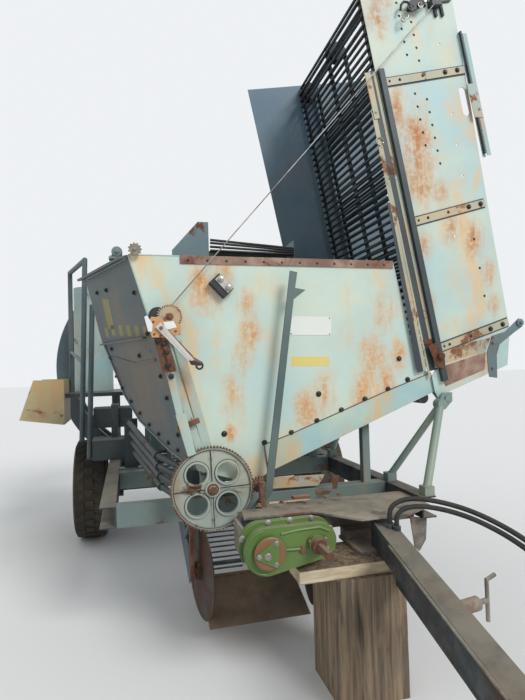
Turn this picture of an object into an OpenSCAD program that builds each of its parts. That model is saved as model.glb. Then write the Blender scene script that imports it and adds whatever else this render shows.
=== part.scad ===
/* [Wheels and axle] */
// Distance between the two wheels' middle planes
track = 2340; // [2200:10:2500]
// Outer diameter of a tyre
wheel_d = 930; // [880:5:980]
// Width of a tyre
tyre_w = 290; // [240:5:320]
// Diameter of the rim where the tyre sits
rim_d = 500; // [440:5:540]
// Radius of the axle's spindle inside a hub
spindle_r = 28; // [22:1:32]
// Side of the square axle tube
axle_tube = 90; // [70:2:110]
// Running clearance of every pin and shaft in its bore
run_gap = 0.08; // [0.03:0.01:0.10]

/* [Frame] */
// Place of the left longitudinal beam, on the picture's right
beam_left_x = 800; // [760:5:850]
// Place of the right longitudinal beam
beam_right_x = -930; // [-945:5:-890]
// Width of a longitudinal beam
beam_w = 90; // [70:5:110]
// Height of a longitudinal beam
beam_h = 120; // [100:5:140]
// Height of the beams' upper face over the ground
beam_top = 850; // [820:5:880]
// Front end of the left beam
beam_front_y = -2760; // [-2860:10:-2720]
// Rear end of both beams
beam_rear_y = 420; // [400:5:450]
// Thickness of the steel of channels and brackets
steel_t = 10; // [6:1:14]
// Thickness of the front deck plate
deck_t = 12; // [8:1:20]

/* [Drawbar] */
// Place across of the drawbar's upright pivot pin
swing_x = 430; // [400:5:460]
// Place along of the drawbar's upright pivot pin
swing_y = -2890; // [-2930:5:-2850]
// Radius of the drawbar's pivot pin
swing_pin_r = 20; // [16:1:26]
// Width of the drawbar's box beam
bar_w = 100; // [80:5:120]
// Height of the drawbar's box beam
bar_h = 120; // [90:5:130]
// Place across of the towing eye
eye_x = 190; // [150:10:260]
// Place along of the towing eye
eye_y = -4700; // [-4900:10:-4600]
// Height of the towing eye
eye_z = 480; // [440:10:520]
// Radius of the hole in the towing eye
eye_bore_r = 20.5; // [20:0.5:26]
// Thickness of the towing eye
eye_t = 32; // [26:1:40]

/* [Bunker] */
// Place of the bunker's front face
bunker_front_y = -2450; // [-2480:5:-2430]
// Depth of the bunker from its front face to its rear face
bunker_depth = 1154; // [1100:2:1170]
// Height of the bunker's upper edge
bunker_top = 2226; // [2150:2:2300]
// Left end of the front face's upper edge
bunker_left_x = -794; // [-820:2:-760]
// Right end of the front face's upper edge
bunker_right_x = 806; // [780:2:830]
// Thickness of the bunker's sheet
sheet_t = 4; // [3:0.5:6]
// Length along the slanted end wall's upper edge
end_len = 794; // [760:2:820]
// Direction of the end wall in plan
end_turn = 110.65; // [109:0.05:112]
// Lean of the end wall from upright
end_lean = 15.5; // [14.5:0.1:16.5]
// Height of the rusty rail along the front's upper edge
rail_h = 42; // [30:1:55]

/* [Unloading elevator] */
// Place across of the elevator's foot corner
pivot_x = 1082; // [1070:1:1095]
// Height of the elevator's foot corner
pivot_z = 1449; // [1440:1:1460]
// Lean of the folded elevator past upright
lean = 10.7; // [8:0.1:12]
// Length of the elevator's walls
elev_len = 2560; // [2450:10:2620]
// Width of the near wall at its top
elev_top_w = 682; // [660:2:700]
// Width of the near wall at its foot
elev_foot_w = 600; // [580:2:620]
// Height of the far wall's guard board over the bed
guard_w = 420; // [360:5:460]
// Radius of the fold pins
fold_pin_r = 20; // [16:1:24]
// Radius of the round stays under the fold axis
stay_r = 21; // [17:1:24]
// Count of bed bars
bar_count = 46; // [36:1:52]
// Radius of a bed bar
bar_r = 10; // [7:0.5:12]
// Radius of the elevator's end rollers
roller_r = 66; // [56:1:72]

/* [Ring elevator] */
// Outer radius of the lifting ring
ring_r = 1150; // [1100:5:1170]
// Inner radius of the ring's flanges
ring_bore_r = 985; // [960:5:1010]
// Place across of the ring's axis
ring_x = -400; // [-420:5:-380]
// Height of the ring's axis
ring_z = 1640; // [1630:5:1680]
// Front face of the ring
ring_y = 520; // [510:5:560]
// Width of the ring
ring_w = 480; // [420:10:520]
// Width of each of the ring's two rims
rim_w = 60; // [45:5:75]
// Count of sieve rods around the ring
ring_rods = 48; // [36:4:64]
// Count of lifting pockets in the ring
ring_pockets = 16; // [12:1:20]

/* [Digging channel] */
// Inner width of the digging channel
web_w = 720; // [680:10:740]
// Place across of the channel's middle
web_x = -90; // [-100:5:-80]
// Radius of a digging disc
disc_r = 270; // [250:5:280]
// Height of a disc's centre
disc_z = 430; // [420:5:440]
// Radius of a guard tube beside the channel
guard_r = 20; // [14:1:24]
// Count of rods in the sieve web
web_rods = 44; // [36:1:52]

/* [Standing places] */
// Height of the platforms
deck_z = 1400; // [1380:5:1420]
// Radius of a handrail's tube
rail_r = 22; // [18:1:26]
// Height of the handrails
rail_top = 2570; // [2500:10:2620]
// Outermost point of the stone box
box_low_x = -1735; // [-1760:5:-1710]

/* [Drive] */
// Count of teeth on the large spur gear
gear_teeth = 80; // [72:2:88]
// Pitch radius of the large spur gear
gear_pitch_r = 226; // [220:1:232]
// Count of teeth on the pinion
pinion_teeth = 14; // [12:1:18]
// Place across of the large gear's shaft
gear_x = -375; // [-380:1:-370]
// Height of the large gear's shaft
gear_z = 943; // [938:1:948]
// Width of the gearbox
gearbox_w = 440; // [420:5:450]
// Height of the gearbox
gearbox_h = 212; // [200:2:220]
// Radius of the splined power shaft
pto_r = 17.5; // [17:0.5:22.5]
// Length of the power shaft's free end
pto_len = 120; // [90:5:140]

/* [Wooden support] */
// Height of the wooden block under the front
stump_h = 590; // [560:5:600]
// Width of the wooden block
stump_w = 350; // [300:5:360]
// Thickness of the planks on the block
plank_t = 60; // [50:2:70]

/* [Hidden] */
$fn = 48;

axle_z = wheel_d / 2;
collar_r = axle_tube / 2 - 1;
beam_low = beam_top - beam_h;
hub_half = 70;
cross_y = [-2300, -1190, 345];
post_y = [cross_y[0], cross_y[1] - 155];
frame_left = beam_left_x - beam_w / 2;
frame_right = beam_right_x + beam_w / 2;
cross_w = 90;
step_post = [-1140, -700];
step_post_top = [-1099, -660, 2175];
hoop_bar = [[-1341, -13, 1788], [-1185, -638, 1681]];
stone_low = 1130;
stone_top = 1533;
stone_lip_x = -1618;
stone_y = -450;
stone_len = 500;
jack_foot = [406.4, -3420, 560];
jack_end = [620, -3381, 560];
jack_crank = [680, -3370, 560];
front_tube_y = -2620;

bunker_rear_y = bunker_front_y + bunker_depth;
corner_low = [-440, 1031];
tip = [-130, 935];
strip_left = [-37, 992];
strip_right = [1062, 1410];
nose_top = [1040, 1530];
hip_right = [950, 1560];

near_y = bunker_front_y - 20;
far_y = bunker_rear_y + 20;
wall_t = 5;
nose_t = 10;
// The fold axis, across and along in the folded elevator's own frame, and in the machine's
fold_local = [15, -84];
fold = [pivot_x + fold_local[0] * cos(lean) - fold_local[1] * sin(lean),
    pivot_z + fold_local[1] * cos(lean) + fold_local[0] * sin(lean)];

gear_tip_r = gear_pitch_r * (gear_teeth + 2) / gear_teeth;
pinion_pitch_r = gear_pitch_r * pinion_teeth / gear_teeth;
gear_y = bunker_front_y - 80;
gear_t = 26;

gearbox_y = -3050;
gearbox_d = 170;
gearbox_x = -99;
gearbox_z = 760;
pto_x = 20;
pto_z = 775;

cradle_angle = 25;
cradle_roller_r = 50;
cradle_gap = 0.3;
cradle_rear_y = 1100;
ring_rear_y = ring_y + ring_w;
rim_web_t = 5;
rim_lip_t = 7;
// Gap of a piece that seats between two others
seat_gap = 0.3;
ring_inner_w = ring_w - 2 * (rim_web_t + seat_gap);
roller_off = (ring_r + cradle_gap + cradle_roller_r) * sin(cradle_angle);
roller_z = ring_z - (ring_r + cradle_gap + cradle_roller_r) * cos(cradle_angle);

stump_x = 290;
stump_y = -2890;
clevis_low = stump_h + plank_t;

x_high = pivot_x + elev_foot_w * cos(lean) - 235 * sin(lean);
y_low = eye_y - 62;
mid_x = (box_low_x + x_high) / 2;
mid_y = (y_low + cradle_rear_y) / 2;

steel_blue = [0.45, 0.62, 0.62];
shade_blue = [0.20, 0.30, 0.36];
rust = [0.45, 0.25, 0.14];
dark_steel = [0.16, 0.14, 0.13];
wood = [0.60, 0.50, 0.38];
rubber_black = [0.07, 0.07, 0.07];

// Moves the machine so that its frame sits at the middle of its footprint
module place() {
    translate([-mid_x, -mid_y, 0]) children();
}

// A round bar between two points
module rod(a, b, r) {
    d = b - a;
    len = norm(d);
    translate(a) rotate([0, acos(d[2] / len), atan2(d[1], d[0])]) cylinder(h = len, r = r);
}

// A rectangular bar between two points, w wide in the level direction and h high
module bar(a, b, w, h) {
    d = b - a;
    len = norm(d);
    translate(a) rotate([0, -asin(d[2] / len), atan2(d[1], d[0])])
        translate([0, -w / 2, -h / 2]) cube([len, w, h]);
}

// A round tube along a list of points with ball corners
module pipe(points, r) {
    for (i = [0:len(points) - 2]) rod(points[i], points[i + 1], r);
    for (i = [1:len(points) - 2]) translate(points[i]) sphere(r = r + 0.7);
}

// An upright plate from an outline in X and Z, its front at y, t thick towards the rear
module wall(outline, y, t) {
    translate([0, y + t, 0]) rotate([90, 0, 0]) linear_extrude(t) polygon(outline);
}

// A box given by its two corners
module block(low, high) {
    translate(low) cube(high - low);
}

// Places children in the folded elevator's own frame, X across and Z along it
module elevator_frame() {
    translate([pivot_x, 0, pivot_z]) rotate([0, -lean, 0]) children();
}

// Places children in the slanted end wall's plane, X rearward and Y up the wall
module end_frame() {
    translate([bunker_left_x, bunker_front_y, bunker_top])
        rotate([0, 0, end_turn]) rotate([90 - end_lean, 0, 0]) children();
}

module side_beams() {
    color(dark_steel) {
        channel_beam(beam_left_x, beam_front_y, -1);
        channel_beam(beam_right_x, cross_y[0] - cross_w / 2, 1);
    }
}

// A channel along Y whose open side faces outward on side s
module channel_beam(x, y, s) {
    difference() {
        block([x - beam_w / 2, y, beam_low], [x + beam_w / 2, beam_rear_y, beam_top]);
        translate([x - s * steel_t, (y + beam_rear_y) / 2, (beam_low + beam_top) / 2])
            cube([beam_w, beam_rear_y - y + 2, beam_h - 2 * steel_t], center = true);
    }
}

module cross_beams() {
    color(steel_blue) {
        for (y = concat(cross_y, [post_y[1]]))
            block([frame_right, y - cross_w / 2, beam_low], [frame_left, y + cross_w / 2, beam_top]);
        for (y = post_y) {
            post(tip[0], y, tip[1], tip[1]);
            post(640, y, bunker_low(615), bunker_low(665));
        }
    }
}

// The height of the bunker's lower edge at x
function bunker_low(x) = x < tip[0]
    ? tip[1] + (tip[0] - x) * (corner_low[1] - tip[1]) / (tip[0] - corner_low[0])
    : strip_left[1] + (x - strip_left[0]) * (strip_right[1] - strip_left[1]) / (strip_right[0] - strip_left[0]);

// An upright that carries the bunker, standing on a cross beam
module post(x, y, left_z, right_z) {
    wall([[x - 25, beam_top - 1], [x + 25, beam_top - 1], [x + 25, right_z], [x - 25, left_z]], y - 25, 50);
}

module front_deck() {
    color(rust) {
        difference() {
            translate([0, 0, beam_top - deck_t - 20]) linear_extrude(deck_t)
                polygon([[-250, -2735], [110, -2735], [300, swing_y - 60], [560, swing_y - 60],
                    [frame_left, -2840], [frame_left, -2520], [-90, -2520], [-90, -2590], [-235, -2590]]);
            translate([swing_x + 170, swing_y + 60, 0]) cylinder(h = 2 * beam_top, r = 45);
        }
        block([-250, front_tube_y - 50, beam_low - 20], [frame_left, front_tube_y + 50, beam_top - 20 - deck_t]);
        block([290, swing_y - 60, clevis_low], [570, -2670, clevis_low + 16]);
        block([300, -2760, clevis_low + 15], [570, -2670, beam_low - 19]);
        translate([swing_x, swing_y, clevis_low + 2]) cylinder(h = beam_top - 20 - clevis_low - 1, r = swing_pin_r);
        translate([swing_x, swing_y, beam_top - 21]) cylinder(h = 18, r = swing_pin_r + 14, $fn = 6);
        for (x = [-290, -60])
            block([x, gearbox_y + gearbox_d, beam_low - 60], [x + 14, front_tube_y - 49, beam_top - 33]);
    }
}

module axle() {
    color(dark_steel) {
        block([-track / 2 + 160, -axle_tube / 2, axle_z - axle_tube / 2],
            [track / 2 - 160, axle_tube / 2, axle_z + axle_tube / 2]);
        for (s = [-1, 1]) {
            rod([s * (track / 2 - 165), 0, axle_z], [s * (track / 2 + hub_half + 16), 0, axle_z], spindle_r);
            rod([s * (track / 2 - 165), 0, axle_z], [s * (track / 2 - hub_half - 6), 0, axle_z], collar_r);
        }
        for (x = [beam_left_x, beam_right_x])
            wall_x(x, [[-130, beam_low], [130, beam_low], [60, axle_z], [-60, axle_z]], 20);
    }
}

// An upright plate from an outline in Y and Z, centred on x
module wall_x(x, outline, t) {
    translate([x - t / 2, 0, 0]) rotate([90, 0, 90]) linear_extrude(t) polygon(outline);
}

// The tyre's section: height over the axle against place across
function tyre_section(r, w, bead) = [
    [bead, -w * 0.36], [bead + 14, -w * 0.36], [bead + 26, -w * 0.41], [r * 0.80, -w * 0.50], [r * 0.93, -w * 0.49],
    [r * 0.985, -w * 0.43], [r, -w * 0.30], [r, -w * 0.22], [r - 14, -w * 0.20], [r - 14, -w * 0.14],
    [r, -w * 0.12], [r, w * 0.12], [r - 14, w * 0.14], [r - 14, w * 0.20], [r, w * 0.22],
    [r, w * 0.30], [r * 0.985, w * 0.43], [r * 0.93, w * 0.49], [r * 0.80, w * 0.50],
    [bead + 26, w * 0.41], [bead + 14, w * 0.36], [bead, w * 0.36], [bead, w * 0.28], [bead + 22, w * 0.30],
    [r * 0.80, w * 0.42], [r * 0.91, w * 0.36], [r * 0.91, -w * 0.36], [r * 0.80, -w * 0.42],
    [bead + 22, -w * 0.30], [bead, -w * 0.28]];

module wheel_frame(s) {
    translate([s * track / 2, 0, axle_z]) rotate([0, 90, 0]) children();
}

module tyre(s) {
    color(rubber_black) wheel_frame(s)
        rotate_extrude($fn = 64) polygon(tyre_section(wheel_d / 2, tyre_w, rim_d / 2 + 0.3));
}

module rim(s) {
    half = tyre_w * 0.36 + 0.3;
    color(rust) wheel_frame(s) difference() {
        union() {
            rotate_extrude($fn = 64) polygon([
                [rim_d / 2 - 14, -half - 12], [rim_d / 2 + 12, -half - 12], [rim_d / 2 + 12, -half],
                [rim_d / 2, -half], [rim_d / 2, half], [rim_d / 2 + 12, half],
                [rim_d / 2 + 12, half + 12], [rim_d / 2 - 14, half + 12]]);
            translate([0, 0, -6]) cylinder(h = 12, r = rim_d / 2 - 10);
            translate([0, 0, -hub_half]) cylinder(h = 2 * hub_half, r = 62);
        }
        translate([0, 0, -hub_half - 1]) cylinder(h = 2 * hub_half + 2, r = spindle_r + run_gap);
        for (a = [0:72:288]) rotate(a) translate([150, 0, -20]) cylinder(h = 40, r = 26);
    }
}

module ring_cradle() {
    color(dark_steel) {
        for (s = [-1, 1]) {
            x = ring_x + s * roller_off;
            block([x - 30, -60, axle_z - axle_tube / 2 - 50], [x + 30, cradle_rear_y, axle_z - axle_tube / 2]);
            for (y = [ring_y - 30, ring_rear_y + 18])
                block([x - 45, y, axle_z - axle_tube / 2 - 1], [x + 45, y + 12, roller_z + 45]);
            rod([x, ring_y - 38, roller_z], [x, ring_rear_y + 38, roller_z], 16);
            rod([x, ring_y - 12, roller_z], [x, ring_rear_y + 12, roller_z], cradle_roller_r);
        }
        for (y = [ring_y - 40, cradle_rear_y - 60])
            block([ring_x - roller_off, y, axle_z - axle_tube / 2 - 50],
                [ring_x + roller_off, y + 60, axle_z - axle_tube / 2]);
    }
}

// A turned piece about the ring's axis, its length along Y from y
module ring_frame(y) {
    translate([ring_x, y, ring_z]) rotate([-90, 0, 0]) children();
}

// The ring's two rims, of channel section
module ring_drum() {
    color(shade_blue) ring_frame(ring_y) for (z = [0, ring_w - rim_w]) translate([0, 0, z]) difference() {
        cylinder(h = rim_w, r = ring_r, $fn = 96);
        translate([0, 0, -1]) cylinder(h = rim_w + 2, r = ring_bore_r, $fn = 96);
        translate([0, 0, z > 0 ? -1 : rim_web_t]) difference() {
            cylinder(h = rim_w - rim_web_t + 1, r = ring_r - rim_lip_t, $fn = 96);
            translate([0, 0, -1]) cylinder(h = rim_w + 2, r = ring_bore_r + rim_lip_t, $fn = 96);
        }
    }
}

// Places children between the webs of the two rims
module between_rims() {
    ring_frame(ring_y) translate([0, 0, rim_web_t + seat_gap]) children();
}

// The sieve rods that close the ring outside
module ring_rods_cage() {
    color(dark_steel) between_rims() for (i = [0:ring_rods - 1]) rotate(i * 360 / ring_rods)
        translate([ring_r - rim_lip_t - 8, 0, 0]) cylinder(h = ring_inner_w, r = 6, $fn = 8);
}

// The plates between which the ring carries the potatoes up
module ring_pocket_plates() {
    color(shade_blue) between_rims() for (i = [0:ring_pockets - 1]) rotate((i + 0.31) * 360 / ring_pockets)
        translate([ring_bore_r + rim_lip_t + 1, 0, 0]) rotate(12)
            cube([ring_r - ring_bore_r - 2 * rim_lip_t - 20, 5, ring_inner_w]);
}

module gearbox() {
    color([0.25, 0.45, 0.18]) translate([gearbox_x, gearbox_y + gearbox_d, gearbox_z]) rotate([90, 0, 0]) {
        gearbox_shell(8, gearbox_d - 20, 0);
        gearbox_shell(0, 26, gearbox_d - 26);
        translate([-88, 8, gearbox_d - 27]) cylinder(h = 45, r = 58);
        translate([pto_x - gearbox_x, pto_z - gearbox_z, gearbox_d - 27]) cylinder(h = 60, r = 42);
    }
}

// The gearbox's body drawn in its face, set back from its rim: a large end and a small one
module gearbox_shell(inset, h, z) {
    big = gearbox_h / 2;
    small = 0.78 * big;
    translate([0, 0, z]) linear_extrude(h) hull() {
        translate([big - gearbox_w / 2, 0]) circle(r = big - inset);
        translate([gearbox_w / 2 - small, big - small]) circle(r = small - inset);
    }
}

module pto_shaft() {
    face = gearbox_y - 33;
    color(rust) translate([pto_x, face, pto_z]) rotate([90, 0, 0]) {
        cylinder(h = 22, r = 34);
        cylinder(h = 22 + pto_len, r = pto_r);
    }
}

// A spur gear's outline with straight flanks
function gear_points(teeth, pitch_r, depth) = [for (i = [0:teeth - 1]) let (step = 360 / teeth, a = i * step)
    each [polar(pitch_r - depth * 0.55, a - step * 0.34), polar(pitch_r, a - step * 0.24),
        polar(pitch_r + depth * 0.42, a - step * 0.11), polar(pitch_r + depth * 0.42, a + step * 0.11),
        polar(pitch_r, a + step * 0.24), polar(pitch_r - depth * 0.55, a + step * 0.34)]];

function polar(r, a) = [r * cos(a), r * sin(a)];

module drive_gears() {
    depth = gear_pitch_r * 2 / gear_teeth * 2;
    turn = 180 / pinion_teeth;
    color("slategray") {
        translate([gear_x, gear_y + gear_t, gear_z]) rotate([90, 0, 0]) {
            difference() {
                linear_extrude(gear_t) polygon(gear_points(gear_teeth, gear_pitch_r, depth));
                translate([0, 0, gear_t - 8]) cylinder(h = 10, r = gear_pitch_r - 18);
                for (a = [45:90:315]) rotate(a) translate([118, 0, -1]) cylinder(h = gear_t + 2, r = 58);
            }
            for (a = [45:90:315]) rotate(a) translate([118, 0, gear_t - 9]) difference() {
                cylinder(h = 12, r = 68);
                translate([0, 0, -1]) cylinder(h = 14, r = 58);
            }
            cylinder(h = gear_t + 14, r = 40);
            for (a = [0:90:270]) rotate(a) translate([30, -5, gear_t - 9]) cube([gear_pitch_r - 42, 10, 7]);
        }
        rod([gear_x, gear_y - 30, gear_z], [gear_x, bunker_front_y + 500, gear_z], 22);
        translate([gear_x + gear_pitch_r + pinion_pitch_r, gear_y + gear_t + 4, gear_z]) rotate([90, turn, 0])
            linear_extrude(gear_t + 8) polygon(gear_points(pinion_teeth, pinion_pitch_r, depth));
        rod([gear_x + gear_pitch_r + pinion_pitch_r, gear_y + gear_t + 8, gear_z],
            [gear_x + gear_pitch_r + pinion_pitch_r, gear_y - 46, gear_z], 16);
        block([gear_x - 35, cross_y[0] - 30, beam_top], [gear_x + 35, cross_y[0] + 30, gear_z + 35]);
        block([gear_x + 250, gear_y - 66, beam_top - 20], [gear_x + 281, gear_y - 26, gear_z + 26]);
    }
}

module shift_lever() {
    y = bunker_front_y - 95;
    color(shade_blue) {
        wall([[-204, 783], [-172, 757], [-46, 896], [113, 1975], [187, 2030], [124, 2041],
            [140, 2131], [98, 2139], [-86, 914]], y - 7, 14);
        rod([-180, front_tube_y + 50, 780], [-180, y + 12, 780], 14);
    }
}

function front_outline() = [[bunker_left_x, bunker_top], [bunker_right_x, bunker_top], hip_right,
    nose_top, strip_right, strip_left, tip, corner_low];

module bunker_front() {
    y = bunker_front_y;
    color(steel_blue) {
        wall(front_outline(), y, sheet_t);
        // the conveyor's side strip along the lower edge
        wall([strip_right, nose_top, [-64, 1151], strip_left], y - 3, 3.5);
    }
}

module bunker_rear() {
    y = bunker_rear_y - sheet_t;
    color(steel_blue) wall([[end_far[0], bunker_top], [bunker_right_x, bunker_top], hip_right, nose_top,
        strip_right, strip_left, tip, [-400, 1090], [-640, 1250], [-800, 1433], [-971, 1778]], y, sheet_t);
}

end_far = [bunker_left_x + end_len * cos(end_turn), bunker_front_y + end_len * sin(end_turn)];
// The end wall's outline, along the wall against height over its upper edge
seam = 6.2;
end_outline = [[seam, 0], [end_len, 0], [end_len + 36, -394], [end_len + 36, -465], [686, -823],
    [543, -991], [189, -1156], [seam - 125, -1240]];

module bunker_end() {
    color(shade_blue) end_frame() {
        linear_extrude(sheet_t) polygon(end_outline);
        translate([seam + 10, -10, -45]) cube([end_len + 16, 14, 49]);
        translate([60, -463, -26]) cube([end_len - 40, 10, 28]);
        for (row = [[24, -600, 330, -3], [345, -615, 300, 9], [640, -568, 150, 2]])
            translate([row[0], row[1], -6]) rotate([0, 0, row[3]]) cube([row[2], 12, 7]);
    }
}

// The curved lower edge of the end wall and the matching points on the rear wall
chute_front = [[-971, -1630, 1778], [-830, -1731, 1433], [-738, -1849, 1271], [-572, -2164, 1112],
    [-445, -2445, 1031]];
// From the end wall's edge to the sheets that seat on it
chute_seat = [8, 0, 0];
chute_rear = [[-971, 1778], [-800, 1433], [-640, 1250], [-400, 1090], [-130, 937]];

module bunker_chute() {
    y = bunker_rear_y - sheet_t - 4;
    color(shade_blue) {
        for (i = [0:len(chute_front) - 2])
            chute_sheet([chute_front[i] + chute_seat, chute_front[i + 1] + chute_seat,
                [chute_rear[i + 1][0], y, chute_rear[i + 1][1]], [chute_rear[i][0], y, chute_rear[i][1]]]);
        chute_sheet([chute_front[4] + chute_seat, [tip[0], bunker_front_y + 5, tip[1] + 2],
            [tip[0], y, tip[1] + 2]]);
        chute_sheet([[end_far[0], end_far[1], bunker_top - 4] + chute_seat, chute_front[0] + chute_seat,
            [chute_rear[0][0], y, chute_rear[0][1]], [end_far[0], y, bunker_top - 4]]);
    }
}

// A thin sheet spanned between some corners
module chute_sheet(corners) {
    hull() for (p = corners) translate(p) cube([4, 4, 4]);
}

module bunker_rails() {
    y = bunker_front_y;
    color(rust) {
        block([bunker_left_x + 280, y - 6, bunker_top - rail_h], [bunker_right_x - 4, y, bunker_top + 6]);
        block([bunker_left_x + 280, y - 6, bunker_top], [bunker_right_x - 4, y + 40, bunker_top + 6]);
        block([end_far[0], bunker_rear_y, bunker_top - rail_h], [bunker_right_x - 4, bunker_rear_y + 6, bunker_top + 6]);
    }
}

module bunker_conveyor() {
    slope = atan2(strip_right[1] - strip_left[1], strip_right[0] - strip_left[0]);
    run = norm(strip_right - strip_left) - 60;
    low_y = bunker_front_y + sheet_t + nose_t;
    wide = bunker_depth - 2 * (sheet_t + nose_t);
    color(dark_steel) translate([strip_left[0], low_y, strip_left[1]]) rotate([0, -slope, 0]) {
        translate([0, 0.5, 6]) cube([run, wide - 1, 4]);
        for (x = [20:70:run - 40]) translate([x, 1, 9]) cube([26, wide - 2, 22]);
        translate([run - 20, 0.5, -10]) rotate([-90, 0, 0]) cylinder(h = wide - 1, r = 36);
    }
}

module pivot_stays() {
    front = near_y - 37;
    rear = far_y + wall_t + 37;
    top = [fold[0] - 50, fold[1] - 36];
    color(steel_blue) {
        stay([top[0], front, top[1]], [beam_left_x, -2322], stay_r);
        stay([top[0], front, top[1]], [beam_left_x + 12, beam_front_y + 40], stay_r + 3);
        stay_boss(front, top);
        fold_plate(front - 5, 10);
        fold_boss(front + 5, near_y - 3);
        nose_plate(bunker_front_y + sheet_t);
        rod([fold[0], front - 14, fold[1]], [fold[0], bunker_front_y + sheet_t + nose_t + 1, fold[1]], fold_pin_r);
        stay([top[0], rear, top[1]], [beam_left_x, rear - 120], stay_r);
        stay([top[0], rear, top[1]], [beam_left_x, rear + 260], stay_r + 3);
        stay_boss(rear, top);
        fold_plate(rear - 5, 10);
        fold_boss(far_y + wall_t + 3, rear - 5);
        nose_plate(bunker_rear_y - sheet_t - nose_t);
        rod([fold[0], bunker_rear_y - sheet_t - nose_t - 1, fold[1]], [fold[0], rear + 14, fold[1]], fold_pin_r);
    }
}

// A stay from its top down to a lug on the left beam
module stay(top, foot, r) {
    rod(top, [foot[0], foot[1], beam_top + 30], r);
    block([foot[0] - 30, foot[1] - 32, beam_top], [foot[0] + 30, foot[1] + 32, beam_top + 50]);
}

// The cross boss in which two stays meet
module stay_boss(y, top) {
    rod([top[0], y - 30, top[1]], [top[0], y + 30, top[1]], stay_r + 12);
}

// The head plate of the stays, from their tops to the fold pin
module fold_plate(y, t) {
    wall([[fold[0] - 85, fold[1] - 70], [fold[0] - 20, fold[1] - 70], [fold[0] + 34, fold[1] - 20],
        [fold[0] + 34, fold[1] + 34], [fold[0] - 34, fold[1] + 34]], y, t);
}

// The spacer on the fold pin between a head plate and the elevator's wall
module fold_boss(y0, y1) {
    rod([fold[0], y0, fold[1]], [fold[0], y1, fold[1]], fold_pin_r + 12);
}

// The plate inside the bunker's nose that holds the fold pin's inner end
module nose_plate(y) {
    wall([[strip_right[0] - 110, strip_right[1] - 42], strip_right - [12, 4.7], [fold[0] - 10, fold[1] - 34],
        [fold[0] + 34, fold[1] - 20], [fold[0] + 30, fold[1] + 34], nose_top - [2, 3], hip_right + [30, -14]],
        y, nose_t);
}

// The post's line up the bunker's left corner
post_low = [-398, 1030];
post_high = [-662, 1925];

module winch_post() {
    y = bunker_front_y;
    color(steel_blue) {
        bar([post_low[0], y - 20, post_low[1]], [post_high[0], y - 20, post_high[1]], 40, 40);
        bar([post_low[0] + 45, y - 6, post_low[1]], [post_high[0] + 120, y - 6, 1750], 12, 50);
    }
}

winch_at = [-586, 1877];
crank_at = [-631, 1822];
cable_y = bunker_front_y - 62;
cable_r = 3;
drum_r = 12;
// Where the cable leaves the drum, and where it is hooked to the folded elevator
cable_low = winch_at + [-25, 22];
cable_high = [1150, 3900];

module winch() {
    y = bunker_front_y - 40;
    gear_back = cable_y - 24;
    color([0.72, 0.42, 0.22]) {
        wall([[-668, 1842], [-640, 1800], [-548, 1822], [-540, 1868], [-600, 1905], [-650, 1880]], y - 8, 8);
        winch_disc(winch_at, gear_back - 10, 10, 66);
        winch_disc(winch_at, y - 12, 5, 58);
        winch_disc(winch_at, gear_back - 22, y - gear_back + 16, drum_r);
        winch_disc(winch_at, gear_back - 16, 8, 34);
        winch_disc(crank_at, gear_back - 28, y - gear_back + 24, 11);
        winch_disc(cable_low, cable_y - 9, y - cable_y, 4);
        bar([crank_at[0], gear_back - 24, crank_at[1]], [-478, gear_back - 24, 1654], 8, 32);
        rod([-480, gear_back - 24, 1656], [-428, gear_back - 52, 1622], 13);
    }
}

// A turned piece of the winch about an axis along Y, from y, h long
module winch_disc(at, y, h, r) {
    translate([at[0], y, at[1]]) rotate([-90, 0, 0]) cylinder(h = h, r = r);
}

disc_x = [web_x - web_w / 2 + 30, web_x + web_w / 2 - 30];
toe = 8;

module coulter_arms() {
    color(rust) for (i = [0, 1]) {
        s = i == 0 ? -1 : 1;
        x = disc_x[i] + s * 52;
        block([x - 10, cross_y[0] - 30, disc_z - 45], [x + 10, cross_y[0] + 30, beam_low]);
        translate([disc_x[i], cross_y[0], disc_z]) rotate([0, 0, -s * toe]) rotate([0, s * 90, 0])
            translate([0, 0, -24]) cylinder(h = 68, r = 18);
    }
}

module disc(i) {
    s = i == 0 ? -1 : 1;
    color(dark_steel) translate([disc_x[i], cross_y[0], disc_z]) rotate([0, 0, -s * toe]) rotate([0, s * 90, 0])
        difference() {
            union() {
                translate([0, 0, -3]) cylinder(h = 6, r = disc_r, $fn = 64);
                translate([0, 0, -22]) cylinder(h = 50, r = 50);
            }
            translate([0, 0, -26]) cylinder(h = 60, r = 18 + run_gap);
        }
}

web_slope = atan2(1000 - 260, 560 + 2100);
web_start = [-2000, 288];

// Places children along the rising sieve web, X across, Y up the slope
module web_frame() {
    translate([web_x, web_start[0], web_start[1]]) rotate([web_slope, 0, 0]) children();
}

web_len = (492 - web_start[0]) / cos(web_slope);

// The channel's front hanger, from the front cross beam whose rear face is at y
function hanger_outline(y) = [[y - 14, beam_low], [y - 14, 640], [y, 640], [y, 699], [web_start[0] + 160, 467],
    [web_start[0] + 180, 501], [y + 7, 741], [y + 0.3, 738], [y + 0.3, beam_low]];

module dig_channel() {
    color(shade_blue) web_frame() {
        for (s = [-1, 1]) translate([s * (web_w / 2 + 3), 0, 0]) rotate([90, 0, 90])
            translate([0, 0, -3]) linear_extrude(6)
                polygon([[0, -60], [web_len, -60], [web_len, 150], [900, 190], [60, 150], [-40, 20]]);
        for (y = [120, web_len / 2, web_len - 80]) translate([-web_w / 2, y, -26.3]) rotate([0, 90, 0])
            cylinder(h = web_w, r = 14);
    }
    color(shade_blue) for (s = [-1, 1]) {
        x = web_x + s * (web_w / 2 + 11);
        block([x - 5, cross_y[1] - 30, 600], [x + 5, cross_y[1] + 30, beam_low]);
        block([x - 5, cross_y[2] - 30, beam_top], [x + 5, cross_y[2] + 30, 1000]);
        wall_x(x, hanger_outline(cross_y[0] + cross_w / 2), 10);
    }
}

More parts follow.
